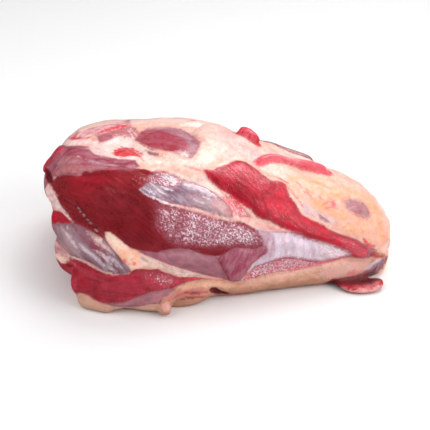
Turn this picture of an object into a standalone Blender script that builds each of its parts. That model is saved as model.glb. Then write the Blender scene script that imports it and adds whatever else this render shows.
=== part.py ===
"""Raw boneless beef shank, whole, lying on its flat underside.

The shank is one solid: a slumped core with the muscles that show on it. Each muscle is a pad on the core's
skin, drawn from a sphere, so that neighbours meet in the creases of real meat. Scraps and loose ends are
spindles along curved axes. All of them are fused into one body, smoothed, and cut flat where it rests.

X runs along the shank from the thick cut end to the thin fatty end, Y from the front to the back, Z is up.
The tables below are in millimetres, with Z 0 on the surface that the meat lies on. Angles go round the
core, in degrees: 0 is the front, 90 the top, 180 the back and 270 the underside.
"""

import math

import bmesh
import bpy
import numpy as np
from mathutils import Vector

MM = 0.001
NAME = "beef_shank"

# Driving sizes of the whole piece.
THICK_END = -125.0  # the core alone: the muscle ends and the fat stand out past it
THIN_END = 129.0
END_CROWDING = 0.9  # under 1 puts more rings near the core's ends
LUMP_HEIGHT = 1.6  # unevenness of every surface
LUMP_LENGTH = 26.0

# How the shapes become one skin.
VOXEL = 1.5
SMOOTH_PASSES = 4
MOST_TRIANGLES = 10800
CUTTER_SIDE = 500.0
CUTTER_DEPTH = 100.0

RAW_RED = (0.32, 0.045, 0.055, 1.0)

# The core: where its front and back lie and how high it is, at stations along the length.
CORE_STATIONS = (
    # x, front y, back y, height, exponent of the section below its waist: more is squarer
    (-125, -8, 52, 62, 4.0),
    (-122, -16, 62, 70, 4.0),
    (-114, -34, 74, 79, 5.0),
    (-102, -54, 80, 87, 5.0),
    (-79, -67, 83, 91, 5.0),
    (-42, -69, 84, 94, 5.0),
    (-12, -59, 81, 95, 3.5),
    (0, -55, 78, 94, 3.0),
    (34, -49, 67, 81, 2.5),
    (62, -42, 57, 70, 2.4),
    (85, -38, 49, 62, 2.4),
    (105, -33, 39, 54, 2.4),
    (118, -27, 28, 43, 2.2),
    (126, -20, 18, 35, 2.0),
    (129, -12, 8, 25, 2.0),
)
CORE_WAIST = 0.27  # height of the widest level, as a share of the full height
CORE_BELOW = 1.15  # how far the core reaches down from there, as a share of that level
SQUARE_ABOVE = 2.5  # exponent of the section above its waist: 2 is an ellipse
CUT_END_LEAN = 0.12  # how much shorter the thick end is at its foot than at LEAN_TOP
LEAN_TOP = 62.0

# Muscles, tendons and fat on the skin of the core, each from end to end.
PADS = {
    # name: rows of (x, angle of the lower edge, angle of the upper edge, rise)
    "main": (
        (-122, 56, 64, 2), (-104, 46, 66, 4), (-90, 36, 67, 6), (-70, 22, 69, 7), (-45, 15, 64, 7),
        (-20, 13, 45, 7), (5, 7, 33, 6), (25, 13, 30, 4), (37, 15, 21, 2),
    ),
    "filmed": (
        (-57, 52, 58, 2), (-42, 46, 64, 5), (-28, 41, 60, 6), (-12, 37, 53, 6), (6, 31, 44, 5),
        (16, 30, 35, 2),
    ),
    "upper": ((-124, 64, 94, 3), (-108, 66, 95, 5), (-92, 67, 87, 5), (-76, 68, 79, 4), (-56, 69, 75, 2)),
    "seam": ((-116, 94, 99, 2), (-98, 87, 98, 3), (-80, 78, 91, 3), (-62, 74, 88, 3), (-46, 71, 81, 2)),
    "oval": ((-62, 87, 92, 2), (-48, 82, 100, 5), (-34, 76, 102, 6), (-20, 70, 93, 6), (-3, 72, 80, 2)),
    "back_small": ((-92, 93, 99, 2), (-82, 91, 103, 4), (-70, 94, 105, 4), (-58, 92, 101, 2)),
    "back_top": (
        (-122, 100, 150, 3), (-100, 101, 150, 6), (-78, 105, 150, 7), (-50, 106, 150, 6),
        (-20, 105, 150, 5), (20, 112, 148, 4),
    ),
    "fat_top": ((-50, 66, 72, 1), (-30, 61, 71, 3), (-8, 58, 110, 5), (14, 74, 120, 4), (36, 82, 112, 3)),
    "bright": (
        (-13, 61, 67, 2), (2, 52, 71, 4), (18, 44, 83, 6), (34, 34, 76, 6), (50, 28, 72, 6),
        (62, 24, 47, 5), (80, 20, 35, 4), (108, 12, 22, 2),
    ),
    "silver": (
        (16, -6, 0, 2), (28, 0, 19, 4), (42, 1, 27, 5), (58, 2, 26, 5), (75, 4, 20, 4), (98, 8, 13, 2),
    ),
    "middle": ((1, 0, 8, 2), (10, -12, 12, 4), (20, -3, 14, 5), (38, 8, 15, 2)),
    "band": ((-60, 15, 19, 2), (-44, 11, 17, 4), (-24, 4, 15, 5), (-6, -1, 10, 5), (8, -8, 5, 2)),
    "tendon": (
        (-79, 23, 30, 4), (-70, 13, 27, 7), (-61, 5, 19, 7), (-46, 5, 12, 5), (-30, 3, 7, 4), (-9, -2, 1, 2),
    ),
    "sliver": ((-122, 50, 60, 3), (-110, 42, 50, 4), (-96, 36, 45, 4), (-84, 29, 34, 2)),
    "filmed_low": ((-124, -2, 24, 4), (-107, 4, 31, 6), (-92, 4, 31, 7), (-78, 2, 22, 6), (-62, 2, 7, 3)),
    "red_low": ((-115, -30, 0, 4), (-94, -40, 5, 7), (-62, -14, 6, 7), (-36, -3, 5, 6), (-9, -3, 0, 2)),
    "band_low": ((-78, -45, -20, 3), (-60, -35, -4, 5), (-40, -25, -1, 5), (-24, -8, -2, 2)),
    "rim_low": ((-118, -80, -44, 4), (-84, -80, -38, 5), (-55, -80, -34, 5), (-34, -70, -22, 4)),
    "fat_fold": (
        (-38, -70, -24, 3), (-14, -70, -6, 5), (12, -70, -8, 6), (34, -70, -3, 6), (58, -70, 2, 5),
        (80, -70, 5, 5), (106, -65, 9, 5), (127, -50, 6, 3),
    ),
    "fat_lip": ((-36, -50, -26, 4), (-18, -38, -12, 6), (4, -26, -8, 4)),
    "fat_end": (
        (8, 90, 116, 2), (40, 72, 130, 4), (62, 46, 136, 4), (80, 34, 136, 5), (104, 24, 134, 5),
        (118, 16, 130, 5), (128, 10, 108, 3),
    ),
    # The hidden back.
    "back_middle": (
        (-118, 150, 188, 4), (-70, 147, 184, 7), (-20, 146, 184, 7), (30, 142, 180, 6),
        (80, 136, 176, 5), (118, 130, 170, 3),
    ),
    "back_low": (
        (-112, 184, 250, 5), (-62, 181, 250, 7), (-12, 181, 250, 7), (40, 178, 250, 6), (108, 172, 240, 4),
    ),
}

# Muscle ends on the cut face, loose ends and scraps, along curved axes.
SPINDLES = {
    # name: (the way its flat side looks, rows of (x, y, z, half width, half thickness))
    "end_top": ((0, 0, 1), ((-127, 12, 60, 24, 12), (-100, 12, 62, 28, 14))),
    "end_main": ((0, 0.2, 1), ((-118, -13, 42, 15, 13), (-98, -16, 46, 22, 14))),
    "end_back": ((0, 1, 0), ((-124, 50, 42, 20, 15), (-100, 48, 42, 26, 18))),
    "end_middle": ((0, 0.3, 1), ((-121, 18, 34, 21, 12), (-98, 18, 36, 24, 14))),
    "end_low": ((0, 0, 1), ((-115, 26, 12, 36, 12), (-94, 26, 14, 40, 14))),
    "tag": ((-0.5, -0.8, 0), ((-110, -24, 36, 9, 5), (-110, -33, 24, 8, 6), (-97, -48, 22, 10, 8))),
    "end_red": ((0, -1, 0), ((-102, -52, 15, 12, 11), (-72, -56, 16, 13, 12))),
    "corner": ((0, -1, 0), ((-98, -61, 5, 6, 5), (-72, -69, 6, 8, 6))),
    "knob": ((0, -1, 0), ((-40, -72, 6, 4, 4), (-32, -73, 6, 4, 4))),
    "flap": (
        (0, 0, 1),
        ((83, -33, 5, 5, 3), (98, -40, 3, 8, 3), (112, -41, 3, 8, 3), (122, -36, 5, 6, 3)),
    ),
    "curl": ((0, 0, 1), ((17, 32, 92, 5, 5), (24, 28, 90.5, 4.5, 4.5), (31, 23, 87.5, 3.5, 3.5))),
    "ridge": ((0, 0.3, 0.95), ((28, 36, 80, 3.5, 3), (49, 35, 75, 4, 3), (73, 30, 69, 3, 2.5))),
    "worm": (
        (0.3, 0, 0.95),
        (
            (30, -3, 85, 3, 3), (38, 5, 84, 4, 4), (47, 7.5, 82, 3.5, 4), (55, 5.5, 80, 4, 4),
            (64, 7.5, 77.5, 4, 4), (73, 10, 74.5, 4.5, 4), (82, 13, 70, 6, 4.5),
        ),
    ),
}

RINGS = 36
SIDES = 28
BLUNT_END = 2.6  # exponent that closes the ends of pads and spindles: 2 is round
AT_POLE = 1e-6  # closer to the axis than this, a sphere's point has no side
AXIS_STEP = 0.01  # share of a spindle's length over which its direction is taken


def along(rows, share):
    """A row of the table at a share of its length, 0 to 1, on a smooth curve through its points."""
    table = np.array(rows, float)
    last = len(table) - 1
    place = min(max(share, 0.0), 1.0) * last
    i = min(int(place), last - 1)
    t = place - i
    before, start = table[max(i - 1, 0)], table[i]
    end, after = table[i + 1], table[min(i + 2, last)]
    return 0.5 * (
        2 * start
        + (end - before) * t
        + (2 * before - 5 * start + 4 * end - after) * t * t
        + (3 * start - before - 3 * end + after) * t**3
    )


def signed_power(value, power):
    return math.copysign(abs(value) ** power, value)


def skin(x, angle):
    """The point of the core's skin at a station and an angle in degrees."""
    stations = np.array(CORE_STATIONS, float)
    front, back, height, below = (np.interp(x, stations[:, 0], stations[:, i]) for i in (1, 2, 3, 4))
    waist = CORE_WAIST * height
    turn = math.radians(angle)
    power = 2.0 / (SQUARE_ABOVE if math.sin(turn) > 0 else below)
    rise = signed_power(math.sin(turn), power)
    tall = height - waist if rise > 0 else waist * CORE_BELOW
    y = 0.5 * (front + back) + 0.5 * (back - front) * -signed_power(math.cos(turn), power)
    z = waist + tall * rise
    if x < 0:
        x *= 1.0 - CUT_END_LEAN * min(max(1.0 - z / LEAN_TOP, 0.0), 1.0)
    return Vector((x, y, z))


def outward(x, angle):
    """The direction away from the core at a point of its skin."""
    ahead = skin(x + 1.0, angle) - skin(x - 1.0, angle)
    around = skin(x, angle + 1.0) - skin(x, angle - 1.0)
    return around.cross(ahead).normalized()


def sphere_points():
    """A unit sphere as a new bmesh, with its poles on Z."""
    sphere = bmesh.new()
    bmesh.ops.create_uvsphere(sphere, u_segments=SIDES, v_segments=RINGS, radius=1.0)
    return sphere


def closing(pole):
    """How much of its full width a shape has near its ends."""
    return max(1.0 - abs(pole) ** BLUNT_END, 0.0) ** (1.0 / BLUNT_END)


def round_the_pole(point):
    """The direction of a sphere's point around its axis; none at the poles."""
    ring = math.hypot(point.x, point.y)
    if ring < AT_POLE:
        return 0.0, 0.0
    return point.x / ring, point.y / ring


def core():
    """The inside of the shank as a bmesh, in millimetres."""
    shape = sphere_points()
    for vertex in shape.verts:
        pole = vertex.co.z
        share = 0.5 + 0.5 * math.sin(0.5 * math.pi * signed_power(pole, END_CROWDING))
        x = THICK_END + (THIN_END - THICK_END) * share
        turn_x, turn_y = round_the_pole(vertex.co)
        if turn_x == turn_y == 0.0:
            vertex.co = (skin(x, 0) + skin(x, 180)) / 2
        else:
            vertex.co = skin(x, math.degrees(math.atan2(turn_y, turn_x)))
    return shape


def pad(rows):
    """A muscle on the core's skin as a bmesh, in millimetres."""
    shape = sphere_points()
    for vertex in shape.verts:
        pole = vertex.co.z
        x, low, high, rise = along(rows, 0.5 + 0.5 * pole)
        turn_x, turn_y = round_the_pole(vertex.co)
        full = closing(pole)
        angle = 0.5 * (low + high) + 0.5 * (high - low) * full * turn_x
        vertex.co = skin(x, angle) + outward(x, angle) * (rise * full * turn_y)
    return shape


def spindle(face, rows):
    """A scrap or tendon along its own curved axis as a bmesh, in millimetres."""
    shape = sphere_points()
    for vertex in shape.verts:
        pole = vertex.co.z
        share = 0.5 + 0.5 * pole
        x, y, z, width, thickness = along(rows, share)
        axis = Vector((along(rows, share + AXIS_STEP) - along(rows, share - AXIS_STEP))[:3]).normalized()
        side = axis.cross(Vector(face)).normalized()
        out = side.cross(axis)
        turn_x, turn_y = round_the_pole(vertex.co)
        full = closing(pole)
        vertex.co = Vector((x, y, z)) + side * (width * full * turn_x) + out * (thickness * full * turn_y)
    return shape


def flesh():
    """All shapes in one mesh, in metres, still overlapping."""
    whole = bmesh.new()
    shapes = [core()]
    shapes += [pad(rows) for rows in PADS.values()]
    shapes += [spindle(face, rows) for face, rows in SPINDLES.values()]
    for shape in shapes:
        bmesh.ops.recalc_face_normals(shape, faces=shape.faces)
        mesh = bpy.data.meshes.new("shape")
        shape.to_mesh(mesh)
        shape.free()
        whole.from_mesh(mesh)
        bpy.data.meshes.remove(mesh)
    bmesh.ops.scale(whole, vec=(MM, MM, MM), verts=whole.verts)
    mesh = bpy.data.meshes.new(NAME)
    whole.to_mesh(mesh)
    whole.free()
    return mesh


def material():
    """Raw red meat."""
    made = bpy.data.materials.new("raw_meat")
    made.use_nodes = True
    shader = made.node_tree.nodes["Principled BSDF"]
    shader.inputs["Base Color"].default_value = RAW_RED
    shader.inputs["Roughness"].default_value = 0.35
    shader.inputs["Metallic"].default_value = 0.0
    return made


def collection(name):
    made = bpy.data.collections.new(name)
    bpy.context.scene.collection.children.link(made)
    return made


def floor_cutter(cutters):
    """A block whose top is the surface that the meat lies on."""
    block = bmesh.new()
    bmesh.ops.create_cube(block, size=1.0)
    bmesh.ops.scale(block, vec=(CUTTER_SIDE * MM, CUTTER_SIDE * MM, CUTTER_DEPTH * MM), verts=block.verts)
    bmesh.ops.translate(block, vec=(0, 0, -CUTTER_DEPTH * MM / 2), verts=block.verts)
    mesh = bpy.data.meshes.new("floor_cutter")
    block.to_mesh(mesh)
    block.free()
    cutter = bpy.data.objects.new("floor_cutter", mesh)
    cutter.hide_render = True
    cutter.display_type = "WIRE"
    cutters.objects.link(cutter)
    return cutter


def triangles(shank):
    """How many triangles the modifiers give so far."""
    graph = bpy.context.evaluated_depsgraph_get()
    graph.update()
    return sum(len(face.vertices) - 2 for face in shank.evaluated_get(graph).data.polygons)


def fuse(shank, cutter):
    """One skin round all shapes, smoothed, made uneven, thinned out and cut flat below."""
    remesh = shank.modifiers.new("One skin", "REMESH")
    remesh.mode = "VOXEL"
    remesh.voxel_size = VOXEL * MM
    smooth = shank.modifiers.new("Soften creases", "SMOOTH")
    smooth.factor = 0.5
    smooth.iterations = SMOOTH_PASSES
    lumps = bpy.data.textures.new("lumps", "CLOUDS")
    lumps.noise_scale = LUMP_LENGTH * MM
    lumps.noise_depth = 1
    uneven = shank.modifiers.new("Lumps", "DISPLACE")
    uneven.texture = lumps
    uneven.texture_coords = "LOCAL"
    uneven.strength = 2 * LUMP_HEIGHT * MM
    uneven.mid_level = 0.5
    thin = shank.modifiers.new("Thin out", "DECIMATE")
    thin.ratio = 1.0
    thin.ratio = min(1.0, MOST_TRIANGLES / triangles(shank))
    thin.use_collapse_triangulate = True
    cut = shank.modifiers.new("Rest flat", "BOOLEAN")
    cut.operation = "DIFFERENCE"
    cut.object = cutter


def centre(mesh):
    """Moves the mesh so that the origin is at the bottom centre of its box."""
    points = np.array([v.co for v in mesh.vertices])
    low, high = points.min(0), points.max(0)
    shift = Vector((-(low[0] + high[0]) / 2, -(low[1] + high[1]) / 2, -low[2]))
    for vertex in mesh.vertices:
        vertex.co += shift


def main():
    for old in list(bpy.data.objects):
        bpy.data.objects.remove(old)
    parts = collection("raw_beef_shank")
    cutter = floor_cutter(collection("cutters"))
    shank = bpy.data.objects.new(NAME, flesh())
    shank.data.materials.append(material())
    parts.objects.link(shank)
    fuse(shank, cutter)
    graph = bpy.context.evaluated_depsgraph_get()
    solid = bpy.data.meshes.new_from_object(shank.evaluated_get(graph))
    shank.modifiers.clear()
    shank.data = solid
    centre(solid)
    solid.shade_smooth()


main()
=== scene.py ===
"""Looks of the raw boneless beef shank: its skin, materials, light and camera.

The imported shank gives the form. Its mesh is copied, made finer, painted with the muscles, fat and films that
show on it, and given their low relief. A layer's outline follows points in pixels of the view that the camera
gives. Each one is cast onto the surface, where a place is (u, t): u is millimetres along the shank, carried
on round both ends as on a capsule, and t is degrees round it: 0 front, 90 top, 180 back, 270 underside.
"""

import math
from typing import NamedTuple

import bpy
import numpy as np
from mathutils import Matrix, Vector, noise
from mathutils.bvhtree import BVHTree

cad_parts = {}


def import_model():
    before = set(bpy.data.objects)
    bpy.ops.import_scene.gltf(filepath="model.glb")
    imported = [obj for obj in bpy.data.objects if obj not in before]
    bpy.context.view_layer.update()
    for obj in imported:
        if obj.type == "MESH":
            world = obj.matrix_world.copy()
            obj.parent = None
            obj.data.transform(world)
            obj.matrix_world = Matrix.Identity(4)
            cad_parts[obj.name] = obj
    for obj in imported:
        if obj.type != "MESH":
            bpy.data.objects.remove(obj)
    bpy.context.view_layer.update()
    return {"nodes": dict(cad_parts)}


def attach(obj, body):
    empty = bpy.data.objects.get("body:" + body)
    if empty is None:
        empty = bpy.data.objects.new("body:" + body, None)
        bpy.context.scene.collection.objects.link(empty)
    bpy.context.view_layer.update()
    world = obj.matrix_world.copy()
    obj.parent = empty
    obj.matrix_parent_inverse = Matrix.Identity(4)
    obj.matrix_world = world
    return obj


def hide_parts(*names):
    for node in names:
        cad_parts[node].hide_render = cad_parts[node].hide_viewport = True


MM = 0.001

# The camera and the room. The frame and its shift are in pixels, the sensor and the lens in millimetres, and
# all other lengths in metres.
FRAME_SIDE = 430
SENSOR = 36.0
LENS = 85.0
SHIFT_PIXELS = -1.0
CLIP_END = 20.0
AIM = (-0.0012, -0.0062, 0.0382)
AWAY = 0.757
TILT = 32.0
LIGHT_AWAY = 1.15
# azimuth, elevation, side, watts, and whether the light shows in diffuse or in glossy surfaces
LIGHTS = {
    "back_box": (145, 55, 0.6, 9.0, "glossy"),
    "front_box": (38, 18, 0.28, 3.2, "glossy"),
    "key": (148, 58, 0.8, 5.8, "diffuse"),
    "left_fill": (-75, 38, 1.1, 6.1, "diffuse"),
    "top_fill": (-10, 75, 2.0, 6.6, "diffuse"),
    "right_fill": (64, 34, 0.7, 5.4, "diffuse"),
}
ROOM_BRIGHT_SIDE = (0.95, 0.1, 0.3)
ROOM_EDGE = (0.05, 0.5)
ROOM_STRENGTHS = (0.09, 0.4)
BACKDROP = 0.95
WHITE = (1.0, 1.0, 1.0, 1.0)
FLOOR_COLOUR = (0.93, 0.93, 0.935, 1.0)
FLOOR_ROUGHNESS = 0.7
FLOOR_HALF = 4.0
FLOOR_GLOW = (0.6, 3.6, 0.0, 0.92)  # between these distances in metres, from one strength to the other

# The mesh and the places on it, in millimetres.
VOXEL = 1.19
SMOOTHING = 6
SMOOTHING_FACTOR = 0.5
CREASE_SMOOTHING = 40
AXIS = ((-80, 20, 27), (-40, 5, 26), (0, 5, 25), (40, 2, 21), (90, -2, 15))
ROUND = 45.0  # length taken for one radian round the shank or over its ends
REACH = 10.0  # how far from its edge a layer's distance is known
MEAT_MIDDLE = (215.0, 215.0)  # a pixel well inside the meat's outline
CAST_STEP = 5.0  # pixels between the points of an outline that are cast
CAST_TRIES = 40
THIN = 0.05  # least millimetres taken for one degree round the shank
STROKE_PART = (0.02, 0.98)  # how far along a stroke counts for its width, so that it has some at its ends
TINY = 1e-9

# The relief, in millimetres.
SOFTEST = 0.8  # least half width of an edge in the mesh
PAD_EDGE = (-1.2, 1.6)  # where a raised tissue rises, from outside its outline to inside
MARK_EDGE = (-1.0, 1.2)
GROOVE_DEPTH = 0.35
GROOVE_WIDTH = 1.3
FAT_LUMPS = ((7.0, 0.5), (3.2, 0.25))  # size and height
END_LUMPS = (8.5, 1.7)
END_LUMPS_FROM = (70, 110)  # where they begin and are full, along x
BEAD_LUMPS = (2.6, 0.25)
FIBRE_SIZE = (11, 2.4)  # along and across
FIBRE_DEPTH_SHARE = 0.02
FIBRE_RELIEF = 0.12
FILM_RELIEF = 0.3
LEVEL_BELOW = (0.2, 2.5)  # heights between which the relief fades out towards the underside

# Noises of the material: what they follow, size in millimetres, detail, roughness, distortion.
NOISES = {
    "mottle": ("place", 9.0, 3.0, 0.6),
    "clots": ("place", 3.6, 3.0, 0.6, 0.4),
    "torn": ("place", 2.4, 3.0, 0.65, 0.6),
    "thread": ("place", 5.0, 2.0, 0.6, 1.0),
    "specks": ("place", 1.4, 2.0, 0.6),
    "pores": ("place", 2.2, 1.0),
    "fine": ("place", 1.3, 2.0),
    "fibre": ("long_grain", 1.1, 3.0, 0.6),
    "lines": ("long_grain", 1.7, 3.0, 0.6, 0.1),
    "strands": ("long_grain", 1.6, 1.0, 0.4),
    "veil": ("short_grain", 2.8, 3.0, 0.55, 0.3),
    "wisps": ("short_grain", 0.95, 3.0, 0.7, 0.3),
    "ripple": ("short_grain", 2.4, 1.0, 0.4, 0.8),
    "flecks": ("bead_grain", 0.85, 3.0, 0.65, 0.6),
}
# How much a millimetre along the fibres counts against one across them.
GRAINS = {"long_grain": 0.08, "short_grain": 0.35, "bead_grain": 0.65}
CELL_SIZE = 1.9  # of the beads of wet film between dry cracks
CELL_WANDER = {"Scale": 0.5, "Detail": 1.0}  # the noise that bends them
CELL_BEND = (2.4, 2.4, 0.0)

# How much each noise or quality counts in what is made from them: the mix of a tissue's two tones, the fat in
# the creases, the layers' ragged edges, the painted glints and the roughness.
MOTTLES = {
    "along": {"mottle": 0.8, "fibre": 0.7},
    "lumpy": {"mottle": 0.9, "clots": 0.7},
    "veiled": {"mottle": 0.5, "veil": 0.9},
    "lined": {"mottle": 0.5, "lines": 1.0},
}
SEAM = {"torn": 1.2, "crease": 1.0}
EDGE = {"torn": 3.4, "wisps": 2.4, "clots": 1.6}
# Painted glints: pale flecks in the colour that stand in for highlights on wet film, with some pale bits of
# film, thickest where beads are.
PAINTED_GLINTS = {"flecks": 0.95, "wisps": 0.3, "beads": 0.5, "mottle": 0.35}
ROUGHNESS = 0.5
ROUGHER = {"wet": -0.31, "fat": 0.04, "mottle": 0.25}
# A noise, the quality that it goes with, and how much it counts.
BUMPS = (("strands", "fibres", 0.5), ("ripple", "film", 0.7), ("swell", "beads", 0.7), ("clots", "fat", 0.5))
PORES = 0.4
WET_BUMP = (0.9, -0.1)  # share of the wetness, and what is added
BUMP_HEIGHT = 0.5  # in millimetres
STREAKS = 0.6
SPECKS = 0.18

# Where a value goes from and to, and what it is there.
RANGES = {
    "along": (-0.24, 0.26),
    "lumpy": (-0.2, 0.24),
    "veiled": (-0.22, 0.24),
    "lined": (-0.2, 0.22),
    "seam": (0.35, 0.9, 0.0, 0.75),
    "veil": (-0.2, 0.3, 0.0, 0.3),
    "thread": (0.0, 0.035, 0.45, 0.0),
    "glints": (0.4, 0.6, 0.0, 0.9),
    "cracks": (0.0, 0.1, 0.4, 0.0),
    "wisps": (-0.22, -0.1, 0.5, 0.0),
    "swell": (0.0, 0.35),
}

# The shader's values that are the same all over.
SKIN = {
    "IOR": 1.45,
    "Specular IOR Level": 0.6,
    "Subsurface Weight": 0.12,
    "Subsurface Radius": (1.0, 0.35, 0.25),
    "Subsurface Scale": 2.5 * MM,
}

# Colours as they look under this light, 0 to 255.
TONES = {
    "upper": (156, 50, 72),
    "upper_light": (184, 98, 116),
    "oval_film": (176, 124, 142),
    "slate_light": (166, 130, 150),
    "strip_red": (228, 108, 124),
    "strip_rose": (244, 156, 168),
    "low_mauve": (206, 132, 140),
    "flap_red": (176, 30, 40),
    "base": (150, 66, 80),
    "base_film": (178, 112, 126),
    "back_red": (138, 34, 46),
    "cut_red": (156, 34, 46),
    "fat": (247, 184, 166),
    "fat_yellow": (255, 234, 206),
    "fat_orange": (253, 174, 122),
    "fat_pink": (236, 162, 158),
    "rosy_fat": (238, 164, 156),
    "fat_white": (253, 216, 200),
    "vein": (226, 132, 128),
    "membrane": (250, 202, 200),
    "membrane_red": (206, 108, 120),
    "peach": (254, 212, 192),
    "film_brown": (206, 146, 138),
    "mauve": (180, 96, 114),
    "mauve_dark": (150, 56, 74),
    "back_mauve": (194, 104, 118),
    "lavender": (206, 160, 178),
    "grey": (196, 168, 176),
    "grey_warm": (196, 164, 160),
    "slate": (108, 72, 94),
    "oval": (176, 56, 76),
    "dark_red": (132, 18, 30),
    "deep_red": (108, 10, 20),
    "mid_red": (150, 22, 34),
    "bright_red": (208, 10, 50),
    "vivid_red": (250, 26, 64),
    "wound_red": (226, 22, 34),
    "pink_red": (232, 84, 102),
    "sheen": (154, 62, 82),
    "silver": (246, 220, 232),
    "silver_white": (246, 232, 240),
    "lavender_white": (246, 226, 236),
    "silver_low": (130, 66, 84),
    "band": (150, 92, 105),
    "gusset": (254, 232, 224),
    "tendon": (255, 186, 152),
    "tendon_tip": (254, 230, 212),
    "tendon_grey": (160, 138, 142),
    "strip_pink": (206, 112, 126),
    # Darker as painted shade where fat faces down, and partly greyer fat.
    "shaded_band_fat": (194, 134, 108),
    "cream_fat": (202, 150, 122),
    "fold_pale": (222, 180, 164),
    "low_red": (200, 58, 80),
    "low_pink": (184, 84, 98),
    "worm": (244, 102, 116),
    # Painted shade for the dark inside of holes and recesses.
    "hole_shade": (58, 12, 18),
    "purple": (131, 74, 95),
    "flap_pink": (250, 184, 178),
    "flap_black": (70, 8, 12),
    "seam_pale": (254, 228, 224),
    "seam_rose": (250, 194, 188),
    "fold_light": (254, 200, 172),
    "tatter": (216, 140, 134),
    "low_grey": (152, 124, 134),
    "oval_second": (176, 66, 84),
    "ridge_brown": (150, 84, 94),
    "blue_grey": (206, 186, 204),
    "pale_cream": (255, 245, 234),
    "pink_white": (250, 208, 205),
    "middle": (160, 62, 88),
    "rim_cream": (222, 174, 152),
    "low_pale": (206, 176, 178),
}

# What a tissue is like, each 0 to 1. Beads also set how thickly the painted glints lie.
QUALITIES = ("fibres", "film", "wet", "beads", "fat")
TISSUES = {
    "muscle": (1.0, 0.0, 0.65, 0.0, 0.0),
    "veiled": (0.5, 0.35, 0.9, 0.0, 0.0),
    "smooth": (0.2, 0.3, 1.0, 0.0, 0.0),
    "silver": (0.2, 1.0, 1.0, 0.0, 0.0),
    "fat": (0.0, 0.0, 0.4, 0.0, 1.0),
    "torn": (0.4, 0.0, 1.0, 0.25, 0.2),
    "beaded": (0.3, 0.2, 1.0, 1.0, 0.0),
    "specked": (0.8, 0.0, 0.45, 0.5, 0.0),
    "dull": (0.4, 0.3, 0.2, 0.1, 0.0),
    "tattered": (0.3, 0.3, 0.8, 0.55, 0.2),
    "film": (0.1, 0.8, 1.0, 0.1, 0.0),
    "sleek": (0.2, 0.1, 0.5, 0.0, 0.45),
    "cut": (0.1, 0.1, 0.7, 0.3, 0.1),
}

# Which of MOTTLES mixes a tissue's two tones. The others are veiled.
MOTTLED = {
    "muscle": "along", "specked": "along", "silver": "lined",
    "fat": "lumpy", "torn": "lumpy", "beaded": "lumpy", "tattered": "lumpy",
}

CRISP = 1.5  # an edge softer than this has no rim
# The tone of a tissue along a crisp edge: on most a darker rim of painted shade, as in a crease, and on fat
# a rosy tint. Tone, width in millimetres, opacity.
RIMS = {
    "muscle": ("dark_red", 1.8, 0.2),
    "veiled": ("mauve_dark", 1.6, 0.2),
    "smooth": ("mauve_dark", 1.6, 0.22),
    "silver": ("mauve", 2.0, 0.25),
    "fat": ("rosy_fat", 1.8, 0.4),
    "torn": ("bright_red", 1.5, 0.3),
    "beaded": ("mauve_dark", 1.8, 0.2),
    "specked": ("strip_rose", 2.2, 0.3),
    "dull": ("mauve_dark", 1.6, 0.3),
    "sleek": ("rosy_fat", 1.8, 0.3),
}

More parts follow.
